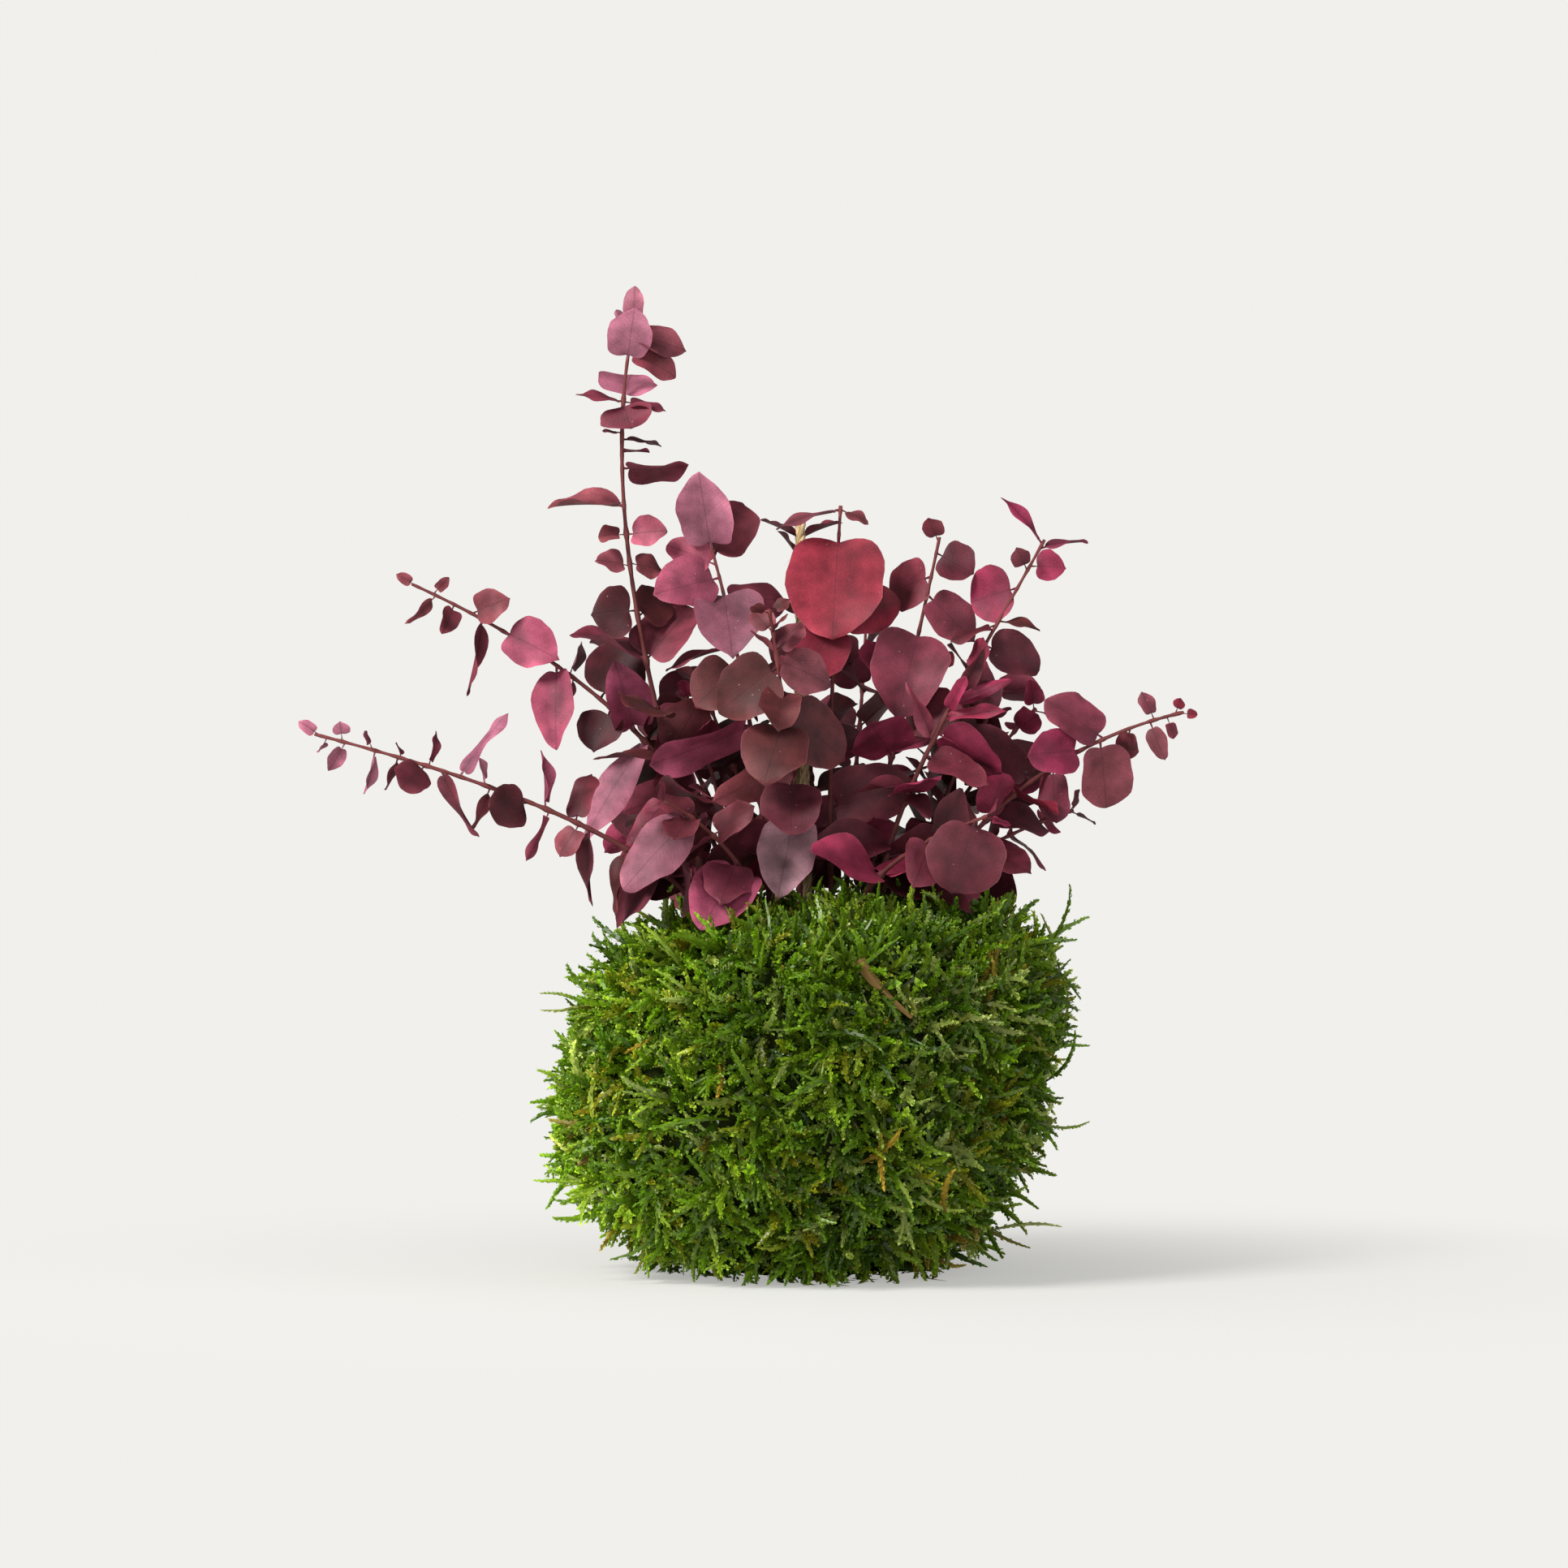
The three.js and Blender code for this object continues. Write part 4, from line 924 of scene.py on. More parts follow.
def ruled_leaf(stem, row, pair, side_of_pair, bend):
    """A leaf of a pair: pairs stand crosswise and get smaller towards the tip."""
    roll, lift, round_it, size = bend
    share = stem["start"] + (stem["end"] - stem["start"]) * (pair / (stem["pairs"] - 1)) ** CLOSER_PAIRS
    place, ahead, side, front, _ = along_stem(stem, share)
    seed = pair * 2 + side_of_pair
    crosswise = stem["turn"] + 90 * pair + 180 * side_of_pair
    angle = math.radians(crosswise + round_it + TURN_SPREAD * (draw(row, seed, 1) - 0.5))
    outward = side * math.cos(angle) + front * math.sin(angle)
    lifted = LIFT + LIFT_AT_TIP * share * share + lift + LIFT_SPREAD * (draw(row, seed, 2) - 0.5)
    rise = math.radians(lifted)
    way = outward * math.cos(rise) + ahead * math.sin(rise)
    level = unit(ahead - way * (ahead @ way))
    face = turned(level, way, math.radians(roll + ROLL_SPREAD * (draw(row, seed, 3) - 0.5)))
    grown = 1 - (1 - SMALLEST_LEAF) * share**SHRINKING
    drawn = LENGTH_FROM + LENGTH_SPREAD * draw(row, seed, 4)
    length = size * stem["leaf"] * grown * drawn + PETIOLE_MM
    narrow, broad = LEAF_WIDTH
    width = (length - PETIOLE_MM) * (narrow + (broad - narrow) * draw(row, seed, 5))
    tones = stem["rest"]
    tone = tones[int(draw(row, seed, 6) * len(tones))]
    return leaf_from(place, way, face, length, width, share, tone)


# %% A blade's outline
BLADE_SHARE = 0.93


def outline(leaf, turn, lobe, taper):
    """Half the blade's width and how far along that is, as turn goes from 0 at the foot to pi at the tip.

    lobe draws the foot into a heart, and taper makes the blade wider near its foot."""
    across = leaf["width"] / 2 * np.sin(turn) * (1 + taper * np.cos(turn))
    share = BLADE_SHARE * ((1 - np.cos(turn)) / 2 - lobe * np.sin(turn) * np.cos(turn))
    return across, PETIOLE_MM + (leaf["length"] - PETIOLE_MM) * share


def place_on(leaf, across, along, rise):
    """Points in mm from their place on a leaf."""
    spread = np.stack([across, along, rise], axis=-1)
    return leaf["place"] + spread @ np.stack([leaf["across"], leaf["ahead"], leaf["face"]])


# %% Which leaves were built
PACKED_BLADE_MM = 0.7
PACKED_TAPER = 0.2
PACKED_FOOT_LOBE, PACKED_TIP_LOBE = 0.28, 0.1
FINE_FROM_LENGTH_MM, FINE_FROM_WIDTH_MM = 17, 10
FOUND_MM = 0.05


def was_built(leaf, tree):
    """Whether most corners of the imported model's plain blade are there."""
    is_fine = leaf["length"] > FINE_FROM_LENGTH_MM and leaf["width"] > FINE_FROM_WIDTH_MM
    rings = 4 if is_fine else 3
    corners = found = 0
    for ring in range(1, rings):
        turn = math.pi * ring / rings
        lobe = PACKED_FOOT_LOBE if turn < math.pi / 2 else PACKED_TIP_LOBE
        across, along = outline(leaf, turn, lobe, PACKED_TAPER)
        rise = leaf["cup"] * across**2 - leaf["arch"] * along**2
        for edge in (-across, across):
            for layer in (-PACKED_BLADE_MM / 2, PACKED_BLADE_MM / 2):
                corners += 1
                found += tree.find(place_on(leaf, edge, along, rise + layer) * MM)[2] < FOUND_MM * MM
    return found > corners / 2


def leaves_of(row, stem):
    """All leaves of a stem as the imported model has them."""
    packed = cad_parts["stem_" + stem["name"]].data.vertices
    tree = KDTree(len(packed))
    for i, point in enumerate(packed):
        tree.insert(point.co, i)
    tree.balance()
    placed = zip(stem.get("placed", ()), stem.get("tones", ""))
    leaves = [placed_leaf(stem, given, tone) for given, tone in placed]
    for pair in range(stem["pairs"]):
        for side_of_pair in (0, 1):
            tries = (ruled_leaf(stem, row, pair, side_of_pair, bend) for bend in BENDS)
            leaves.extend([leaf for leaf in tries if was_built(leaf, tree)][:1])
    return leaves


# %% [markdown]
# ### One leaf
#
# A round-leaved eucalyptus leaf is a thin stiff disc with a heart-shaped foot, a short point and a gently
# wavy edge. It cups a little, and its midrib lies in a shallow crease.
#
# A grid is the easiest start: its columns run from foot to tip and its rows from edge to edge. Its first
# and last row are merged to a point each, the columns near the middle are drawn in for the crease, and a
# Solidify modifier gives it two faces, which are merged again along the edge, because a leaf is thinnest
# there. The copies are then bent in code from the template's own place, where x is -1 and 1 at the edges and
# y is -1 at the foot and 1 at the tip. Small leaves use a plainer grid, because their outline is never seen
# so large.

# %% Leaf template
LEAF_LAYER = 0.01
LARGE_LEAF_MM = 9
CREASE_WIDTH = 0.8
PETIOLE_CUTS = (0.12, 0.3, 0.6)


def leaf_template(columns, rows):
    """A blade from -1 to 1 in x and y, with its two faces LEAF_LAYER above and below the middle."""
    grid = bpy.ops.mesh.primitive_grid_add
    blade = add(grid, "leaf", x_subdivisions=columns, y_subdivisions=rows, size=2)
    for end in (-1, 1):
        pick(blade, lambda place, end=end: abs(place.y - end) < 1e-4)
        bpy.ops.mesh.merge(type="CENTER")
        bpy.ops.object.mode_set(mode="OBJECT")
    if columns > 2:
        pick(blade, lambda place: 0.1 < abs(place.x) < 0.9)
        bpy.ops.transform.resize(value=(CREASE_WIDTH, 1, 1), center_override=(0, 0, 0))
        bpy.ops.object.mode_set(mode="OBJECT")
    apply_modifier(blade, "SOLIDIFY", thickness=2 * LEAF_LAYER, offset=0)
    pick(blade, lambda place: abs(place.x) > 0.9 or abs(place.y) > 0.99)
    bpy.ops.mesh.remove_doubles(threshold=3 * LEAF_LAYER)
    bpy.ops.object.mode_set(mode="OBJECT")
    return Shape(blade)


large_leaf = leaf_template(4, 20)
small_leaf = leaf_template(2, 10)
# The slim stalk has four sides and runs on under the blade as its midrib.
cone = bpy.ops.mesh.primitive_cone_add
petiole = upright(cone, "petiole", PETIOLE_CUTS, vertices=4, radius1=1, radius2=0.25)
face_counts = [len(shape.sizes) for shape in (large_leaf, small_leaf, petiole)]
print("faces of a large leaf, a small one and a stalk:", face_counts)

# %% Bending a leaf
TAPER = (0.06, 0.22)
FOOT_LOBE = (0.16, 0.28)
TIP_LOBE = (-0.1, 0.04)
ONE_SIDED = 0.07
EDGE_WAVE = 0.03
SMALL_WAVE = 0.6
SLOW_WAVES, QUICK_WAVES, RISING_WAVES = 5, 11, 3.2
EDGES_APART = 1.7
INWARD = 1.6
POINT = (0.0, 0.06)
POINT_FROM = 0.8
MIDDLING_LEAF_MM = 25
CREASE_MM = 0.45
CREASE_HALF = 0.09
WAVE_MM = 1.6
CURL_MM = 2.6
SAG_MM = 2.6
CURL_OR_SAG = (-0.4, 1)
TWIST = 0.3
LEAF_THIN_MM = 0.2


def flat_leaf(leaf, x, turn, seeds):
    """How far across and along the points of a blade lie, in mm, with its own lobes, waves and point."""
    lobe = np.where(turn < math.pi / 2, rng.uniform(*FOOT_LOBE), rng.uniform(*TIP_LOBE))
    edge_across, edge_along = outline(leaf, turn, lobe, rng.uniform(*TAPER))
    edge_across = edge_across * (1 + rng.uniform(-ONE_SIDED, ONE_SIDED) * np.sign(x))
    _, middle_along = outline(leaf, turn, 0.0, 0.0)
    slow = np.sin(SLOW_WAVES * turn + seeds[0] + np.sign(x))
    quick = np.sin(QUICK_WAVES * turn + seeds[1] - 2 * x)
    across = x * edge_across * (1 + EDGE_WAVE * (slow + SMALL_WAVE * quick))
    along = middle_along + (edge_along - middle_along) * np.abs(x) ** INWARD
    point = np.clip((turn / math.pi - POINT_FROM) / (1 - POINT_FROM), 0, 1) ** 2
    along += rng.uniform(*POINT) * (leaf["length"] - PETIOLE_MM) * point * (1 - np.abs(x))
    return across, along


def leaf_rise(leaf, x, turn, seeds, across, along):
    """How far each point stands off the flat blade, in mm: cup, arch, crease, wave, curl, twist and sag."""
    size = leaf["length"] / MIDDLING_LEAF_MM
    belly = np.sin(turn)
    to_tip = (turn / math.pi) ** 2
    rise = leaf["cup"] * across**2 - leaf["arch"] * along**2
    rise -= CREASE_MM * size * np.exp(-((across / (CREASE_HALF * leaf["width"])) ** 2)) * belly
    edge_wave = np.sin(RISING_WAVES * turn + seeds[2] + EDGES_APART * np.sign(x))
    rise += WAVE_MM * size * x**2 * edge_wave * belly
    rise += CURL_MM * size * rng.uniform(*CURL_OR_SAG) * x**2 * belly
    rise += TWIST * math.sin(seeds[3]) * across * to_tip
    rise -= SAG_MM * size * rng.uniform(*CURL_OR_SAG) * to_tip
    return rise


# %% Adding a leaf with its dye
DYE_RANGE = (0.93, 1.07)
DYE_SPREAD = 0.04
# Painted light and shade on each leaf: darker at its foot and middle, lighter towards its edges and tip, with
# a slanting gradient across it.
PAINTED_LIGHT_MIDDLE, PAINTED_LIGHT_EDGE, PAINTED_LIGHT_TIP = 0.63, 0.36, 0.26
SLANTED_PAINTED_SHADE = 0.22
STALK_SHADE = 0.7
STALK_FROM_MM = 0.3
RIB_SHARE = 0.3
STALK_RADIUS_MM, STALK_THINNING_MM = 0.5, 0.36
THINNEST_STALK = 0.35
DIPS_FROM = 0.6
UNDER_BLADE_MM = 0.15


def add_leaf(copies, leaf):
    """Adds one bent leaf with its looks: its dye times painted light and shade, its place on the blade in mm,
    and its kind.

    kind is how near the edge a point is, and 0 on the underside and 1 on top."""
    shape = large_leaf if leaf["length"] > LARGE_LEAF_MM else small_leaf
    x, y = np.clip(shape.points[:, :2], -1, 1).T
    layer = np.round(shape.points[:, 2] / LEAF_LAYER)
    turn = math.pi * (y + 1) / 2
    seeds = rng.random(4) * 2 * math.pi
    across, along = flat_leaf(leaf, x, turn, seeds)
    rise = leaf_rise(leaf, x, turn, seeds, across, along) + layer * LEAF_THIN_MM
    tone = DYES[leaf["tone"]] * rng.uniform(*DYE_RANGE) * (1 + DYE_SPREAD * rng.standard_normal(3))
    # Painted light and shade: darker at the foot and middle, lighter at the edges and tip, and a slant across
    # the leaf.
    lit = PAINTED_LIGHT_MIDDLE + PAINTED_LIGHT_EDGE * x**2 + PAINTED_LIGHT_TIP * (turn / math.pi)
    lit += SLANTED_PAINTED_SHADE * (x * np.cos(seeds[1]) + y * np.sin(seeds[1]))
    unused = np.zeros(len(x))
    blade = np.stack([across, along, unused], axis=1)
    kind = np.stack([np.abs(x), (layer + 1) / 2, unused], axis=1)
    points = place_on(leaf, across, along, rise)
    copies.add(shape, points[None], 0, tone=tone * lit[:, None], blade=blade, kind=kind)
    add_petiole(copies, leaf, tone * STALK_SHADE)


def add_petiole(copies, leaf, tone):
    """Adds a leaf's stalk, which thins out under the blade."""
    x, y, z = petiole.points.T
    size = leaf["length"] / MIDDLING_LEAF_MM
    along = STALK_FROM_MM + z * (RIB_SHARE * leaf["length"] + PETIOLE_MM)
    girth = min(1.0, THINNEST_STALK + (1 - THINNEST_STALK) * size)
    girth = girth * (STALK_RADIUS_MM - STALK_THINNING_MM * z)
    under = (CREASE_MM * size + UNDER_BLADE_MM) * np.clip(along / PETIOLE_MM - DIPS_FROM, 0, 1)
    points = place_on(leaf, x * girth, along, y * girth - leaf["arch"] * along**2 - under)
    copies.add(petiole, points[None], 1, tone=tone, blade=np.zeros(3), kind=np.zeros(3))


# %% [markdown]
# ### The stem
#
# The stem is a thin woody rod, thickened where each pair of leaves sits, and cut off deep in the ball. A
# curve with a bevel suits it, because each of its points can have its own radius.

# %% Growing a stem
STEM_POINTS = 90
STEM_SIDES = 8
STEM_SHARE = 0.62
BURIED_MM = 30
NODE_SWELLING = 0.3
NODE_HALF_MM = 1.1
THICKEST = 1.05
KNOBBLY = 0.05
BARK = linear(112, 54, 54)
OLD_BARK, YOUNG_BARK = 0.55, 1.15
BARK_RANGE = (0.8, 1.15)


def add_stem(copies, stem, leaves):
    """Adds a stem that swells at its leaves. Old wood low down is darker than the young tip."""
    shares = np.linspace(0, 1, STEM_POINTS)
    steps = [along_stem(stem, share) for share in shares]
    line = np.array([step[0] for step in steps])
    packed = np.array([step[4] for step in steps])
    radii = packed * STEM_SHARE
    along = lengths_along(line)
    for leaf in leaves:
        away = (along - np.interp(leaf["share"], shares, along)) / NODE_HALF_MM
        radii *= 1 + NODE_SWELLING * np.exp(-(away**2))
    radii = np.minimum(radii, THICKEST * packed)
    radii *= 1 + KNOBBLY * rng.standard_normal(STEM_POINTS)
    cut_end = line[0] - steps[0][1] * BURIED_MM
    made = tube(np.vstack([cut_end, line]), np.concatenate([radii[:1], radii]), STEM_SIDES)
    ring = np.minimum(np.arange(len(made.points)) // STEM_SIDES, STEM_POINTS)
    youth = np.concatenate([[0], shares])[ring][:, None]
    tone = BARK * (OLD_BARK + (YOUNG_BARK - OLD_BARK) * youth) * rng.uniform(*BARK_RANGE)
    copies.add(made, made.points[None], 1, tone=tone, blade=np.zeros(3), kind=np.zeros(3))


# %% [markdown]
# ### Leaf and bark
#
# Dyed leaves are matt, with a fine grain where the dye sits in the cells and blotches where it ran. Three
# looks drive the finish: tone is the dye at each point times the painted light and shade of each leaf, blade
# is the place on the leaf in mm, which draws the midrib and the faint side veins, and kind says how near the
# edge a point is and which face it is on. The underside is paler, the very rim is a light tan that is partly
# a painted highlight along the edge, and a few pale specks of dust lie on the blade.

# %% Leaf material
UNDER_FACTOR = (0.9, 0.8, 0.85)
UNDER_ADDED = (0.028, 0.008, 0.012)
UNDER_SHARE = 0.7
VEIN_SLANT = 0.8
VEINS_PER_MM = 2.4
# The pale tan rim is partly painted highlight, the light along the thin edge.
VEIN_SHARE, RIB_DARK, RIM_AND_SHEEN_SHARE, SPECK_SHARE = 0.1, 0.3, 0.3, 0.4
VEIN_DYE, RIB_DYE = linear(70, 30, 40), linear(62, 26, 34)
PALE_RIM_AND_SHEEN, DUST = linear(170, 110, 104), linear(206, 170, 168)
SPECKS_PER_M = 260


def leaf_finish():
    """The dye with its painted light and shade and a paler underside, then side veins, midrib, a pale rim
    that is partly a painted edge highlight, and dust over it, and a bump.
    """
    leaf = Finish("dyed_leaf", 0.56, (2200, 0.9), (180, 1.5), **{"Specular IOR Level": 0.24})
    tone = leaf.attribute("tone")
    place = node(leaf.tree, "SeparateXYZ")
    leaf.join(leaf.attribute("blade"), place.inputs[0])
    kind = node(leaf.tree, "SeparateXYZ")
    leaf.join(leaf.attribute("kind"), kind.inputs[0])
    paler = node(leaf.tree, "VectorMath", operation="MULTIPLY_ADD")
    paler.inputs[1].default_value = UNDER_FACTOR
    paler.inputs[2].default_value = UNDER_ADDED
    leaf.join(tone, paler.inputs[0])
    under = leaf.math("MULTIPLY", leaf.ramp(kind.outputs["Y"], 0.4, 0.1), UNDER_SHARE)
    off_middle = leaf.math("ABSOLUTE", place.outputs["X"])
    slanted = leaf.math("SUBTRACT", place.outputs["Y"], leaf.math("MULTIPLY", off_middle, VEIN_SLANT))
    veins = leaf.math("SINE", leaf.math("MULTIPLY", slanted, VEINS_PER_MM))
    vein = leaf.math("MULTIPLY", leaf.ramp(veins, 0.86, 1.0), VEIN_SHARE)
    rib = leaf.math("MULTIPLY", leaf.ramp(off_middle, 0.3, 0.08), RIB_DARK)
    # Pale rim, partly a painted edge highlight.
    rim = leaf.math("MULTIPLY", leaf.ramp(kind.outputs["X"], 0.97, 1.0), RIM_AND_SHEEN_SHARE)
    spots = node(leaf.tree, "TexVoronoi", Scale=SPECKS_PER_M)
    leaf.join(node(leaf.tree, "TexCoord").outputs["Object"], spots.inputs["Vector"])
    speck = leaf.math("MULTIPLY", leaf.ramp(spots.outputs["Distance"], 0.06, 0.03), SPECK_SHARE)
    coloured = leaf.mix(under, tone, paler.outputs[0])
    for share, colour in ((vein, VEIN_DYE), (rib, RIB_DYE), (rim, PALE_RIM_AND_SHEEN), (speck, DUST)):
        coloured = leaf.mix(share, coloured, colour)
    leaf.colour(coloured)
    height = leaf.math("SUBTRACT", leaf.mottling.outputs["Height"], leaf.math("ADD", rib, vein))
    leaf.raise_by(height, 0.12, strength=0.7)
    return leaf.material


# %% Bark material
bark = Finish("reddish_bark", 0.7, (2200, 0.7), (260, 0.4), bump_mm=0.18, **{"Specular IOR Level": 0.3})
bark.colour(bark.attribute("tone"))
foliage = [leaf_finish(), bark.material]
print("materials:", [material.name for material in foliage])

# %% Every stem with its leaves
SHARP_FROM = math.radians(60)

leaf_counts = []
for row, stem in enumerate(STEMS):
    leaves = leaves_of(row, stem)
    leaf_counts.append(len(leaves))
    copies = Copies()
    add_stem(copies, stem, leaves)
    for leaf in leaves:
        add_leaf(copies, leaf)
    sprayed = copies.piece("eucalyptus_" + stem["name"], foliage, ["stem_" + stem["name"]])
    bpy.ops.object.select_all(action="DESELECT")
    sprayed.select_set(True)
    bpy.context.view_layer.objects.active = sprayed
    bpy.ops.object.shade_smooth_by_angle(angle=SHARP_FROM)
print("leaves:", leaf_counts, sum(leaf_counts))

# %% [markdown]
# ## The moss ball
#
# The ball is a squarish, slightly lumpy form with a flat foot. The same formula as in the imported model
# gives any point of its surface, and its inset gives the layers below.
#
# Under the sprigs lies a dark mat of old moss and below that the soil. The mat's dark green is partly painted
# shade, so that the gaps between the tufts look deep. Each is a sphere whose points are moved to the formula,
# and roughened. The mat gets a thickness, so that it is a shell round the soil.

# %% The ball's form
BALL_MIDDLE = 54
BALL_HALF = dict(x=65, y=65, up=49, down=58)
BALL_SQUARENESS = dict(up=3.3, down=2)
BALL_SLOPE = 0.05
BELLY_SHIFT, BELLY_TOP = -6, 75
# Size, waves round, waves up and start of each of the lumps.
LUMPS = [(0.024, 3, 2, -1), (0.018, 5, 4, 2), (0.02, 2, 0, 0.6)]
FOOT_LEVEL = math.radians(-63)


def ball_point(round_it, level, inset=0.0):
    """Points of the ball in mm, by the angle about its upright axis and the angle above its widest."""
    upper = level > 0
    power = 2 / np.where(upper, BALL_SQUARENESS["up"], BALL_SQUARENESS["down"])
    lumps = 1 + sum(size * np.sin(a * round_it + b * level + start) for size, a, b, start in LUMPS)
    out = np.abs(np.cos(level)) ** power * lumps
    up = np.abs(np.sin(level)) ** power
    x = (BALL_HALF["x"] - inset) * out * np.cos(round_it)
    y = (BALL_HALF["y"] - inset) * out * np.sin(round_it)
    height = np.where(upper, BALL_HALF["up"] - inset, -(BALL_HALF["down"] - inset))
    z = BALL_MIDDLE + height * up + BALL_SLOPE * x
    return np.stack([x + BELLY_SHIFT * np.sin(math.pi * np.clip(z / BELLY_TOP, 0, 1)), y, z], axis=-1)


crown = ball_point(np.zeros(1), np.full(1, math.pi / 2))[0]
print("the ball's crown, in mm:", crown.round(1).tolist())


# %% A layer of the ball
# Waves round, waves up and start of the two swells that roughen a layer.
SWELLS = [(9, 7, 0), (17, -12, 1)]


def ball_layer(name, inset, lowest, rough, finish, segments, rings):
    """A closed sphere moved to the ball's form below the surface, roughened, and flat at the foot."""
    layer = add(bpy.ops.mesh.primitive_uv_sphere_add, name, segments=segments, ring_count=rings)
    mesh = layer.data
    places = np.array([point.co for point in mesh.vertices])
    round_it = np.arctan2(places[:, 1], places[:, 0])
    level = np.arcsin(np.clip(places[:, 2], -1, 1))
    bumps = sum(np.sin(a * round_it + b * level + start) for a, b, start in SWELLS)
    bumps += rng.standard_normal(len(places))
    points = ball_point(round_it, level, inset + rough * bumps * np.cos(level))
    points[:, 2] = np.maximum(points[:, 2], lowest)
    mesh.vertices.foreach_set("co", (points * MM).ravel())
    mesh.update()
    for face in mesh.polygons:
        face.use_smooth = True
    mesh.materials.append(finish.material)
    return layer


# %% Mat
MAT_INSET_MM = 2.2
MAT_LOWEST_MM = 0.5
MAT_THICKNESS_MM = 7.2
MAT_ROUGH_MM = 0.5

# The mat's dark green is partly painted shade for the deep gaps between the tufts.
old_moss_and_gap_shade = Finish("old_moss_and_gap_shade", 0.9, (900, 1.1), (120, 0.8), bump_mm=1.2, **{"Specular IOR Level": 0.05})
old_moss_and_gap_shade.colour(linear(32, 40, 12))
moss_mat = ball_layer("moss_mat", MAT_INSET_MM, MAT_LOWEST_MM, MAT_ROUGH_MM, old_moss_and_gap_shade, segments=72, rings=48)
apply_modifier(moss_mat, "SOLIDIFY", thickness=MAT_THICKNESS_MM * MM, offset=-1)
settle(moss_mat, ["moss_cover"])

# %% Soil
SOIL_INSET_MM = 10.6
SOIL_ROUGH_MM = 0.35

peat = Finish("peat_soil", 0.95, (700, 1.0), (150, 0.6), bump_mm=0.8)
peat.colour(linear(62, 46, 34))
soil_core = ball_layer("soil_core", SOIL_INSET_MM, SOIL_INSET_MM, SOIL_ROUGH_MM, peat, segments=48, rings=32)
settle(soil_core, ["soil_ball"])

# %% [markdown]
# ### Moss shoots
#
# The moss grows in plump shoots, 10 to 20 mm long and about 2 mm thick, like tiny cords of green scales.
# Some fork, some carry short side shoots, and a few end in a star. No surface bump gives that edge, so the
# shoots are real geometry. A scale is a folded diamond and a shoot's body a slim spindle with few sides,
# and seven kinds of shoot are put together from them. Thousands of bent copies then stand over the ball.

# %% Scale and body
SCALE_WIDTH = 0.86
SCALE_FOLD = (0, -0.1, -0.1)


def scale_template():
    """A diamond 1 long with its foot at the origin, folded along its middle."""
    plane = bpy.ops.mesh.primitive_plane_add
    scale = add(plane, "scale", size=math.sqrt(0.5), rotation=(0, 0, math.pi / 4))
    bpy.ops.object.transform_apply()
    pick(scale, lambda place: abs(place.x) > 0.01)
    bpy.ops.transform.resize(value=(SCALE_WIDTH, 1, 1), center_override=(0, 0, 0))
    bpy.ops.transform.translate(value=SCALE_FOLD)
    bpy.ops.mesh.select_all(action="SELECT")
    bpy.ops.transform.translate(value=(0, 0.5, 0))
    bpy.ops.object.mode_set(mode="OBJECT")
    return Shape(scale)


def body_template(stretches):
    """An upright open tube 1 high and 1 in radius, with four sides and so many stretches."""
    cuts = [cut / stretches for cut in range(1, stretches)]
    cylinder = bpy.ops.mesh.primitive_cylinder_add
    return upright(cylinder, "body", cuts, vertices=4, radius=1, end_fill_type="NOTHING")


scale_shape = scale_template()
body_shapes = {stretches: body_template(stretches) for stretches in (1, 2, 4)}
print("faces of a scale:", len(scale_shape.sizes), "bodies:", [len(b.sizes) for b in body_shapes.values()])

# %% Putting shoots together
GOLDEN = math.radians(137.5)
BODY_MM = 0.84
BODY_SHADE = 0.66
BRANCH_SCALE = 0.85
STAR_HEIGHT, STAR_RISE, STAR_SCALE = 0.96, 0.5, 1.5
# Each shoot is painted darker towards its root and lighter towards its tip: painted shade deep in the moss
# and painted light at the tips.
ROOT_SHADE, TIP_LIGHT, LIGHT_CURVE = 0.3, 0.8, 0.8
SCALES_FROM, SCALES_OVER = 0.12, 0.86
SCALE_SEAT = 0.62
SCALE_SIZE, SIZE_LOST = 1.1, 0.35
SCALE_LEAN, LEAN_LOST = 0.66, 0.4
# Painted shade at a scale's foot and a painted highlight at its point.
SCALE_FOOT_SHADE, SCALE_TIP_HIGHLIGHT = 0.7, 0.65
SPINDLE_OVER, TIP_THINNING = 0.95, 0.5
ANY_OTHER_WAY = (0.3, 1, 0.1)


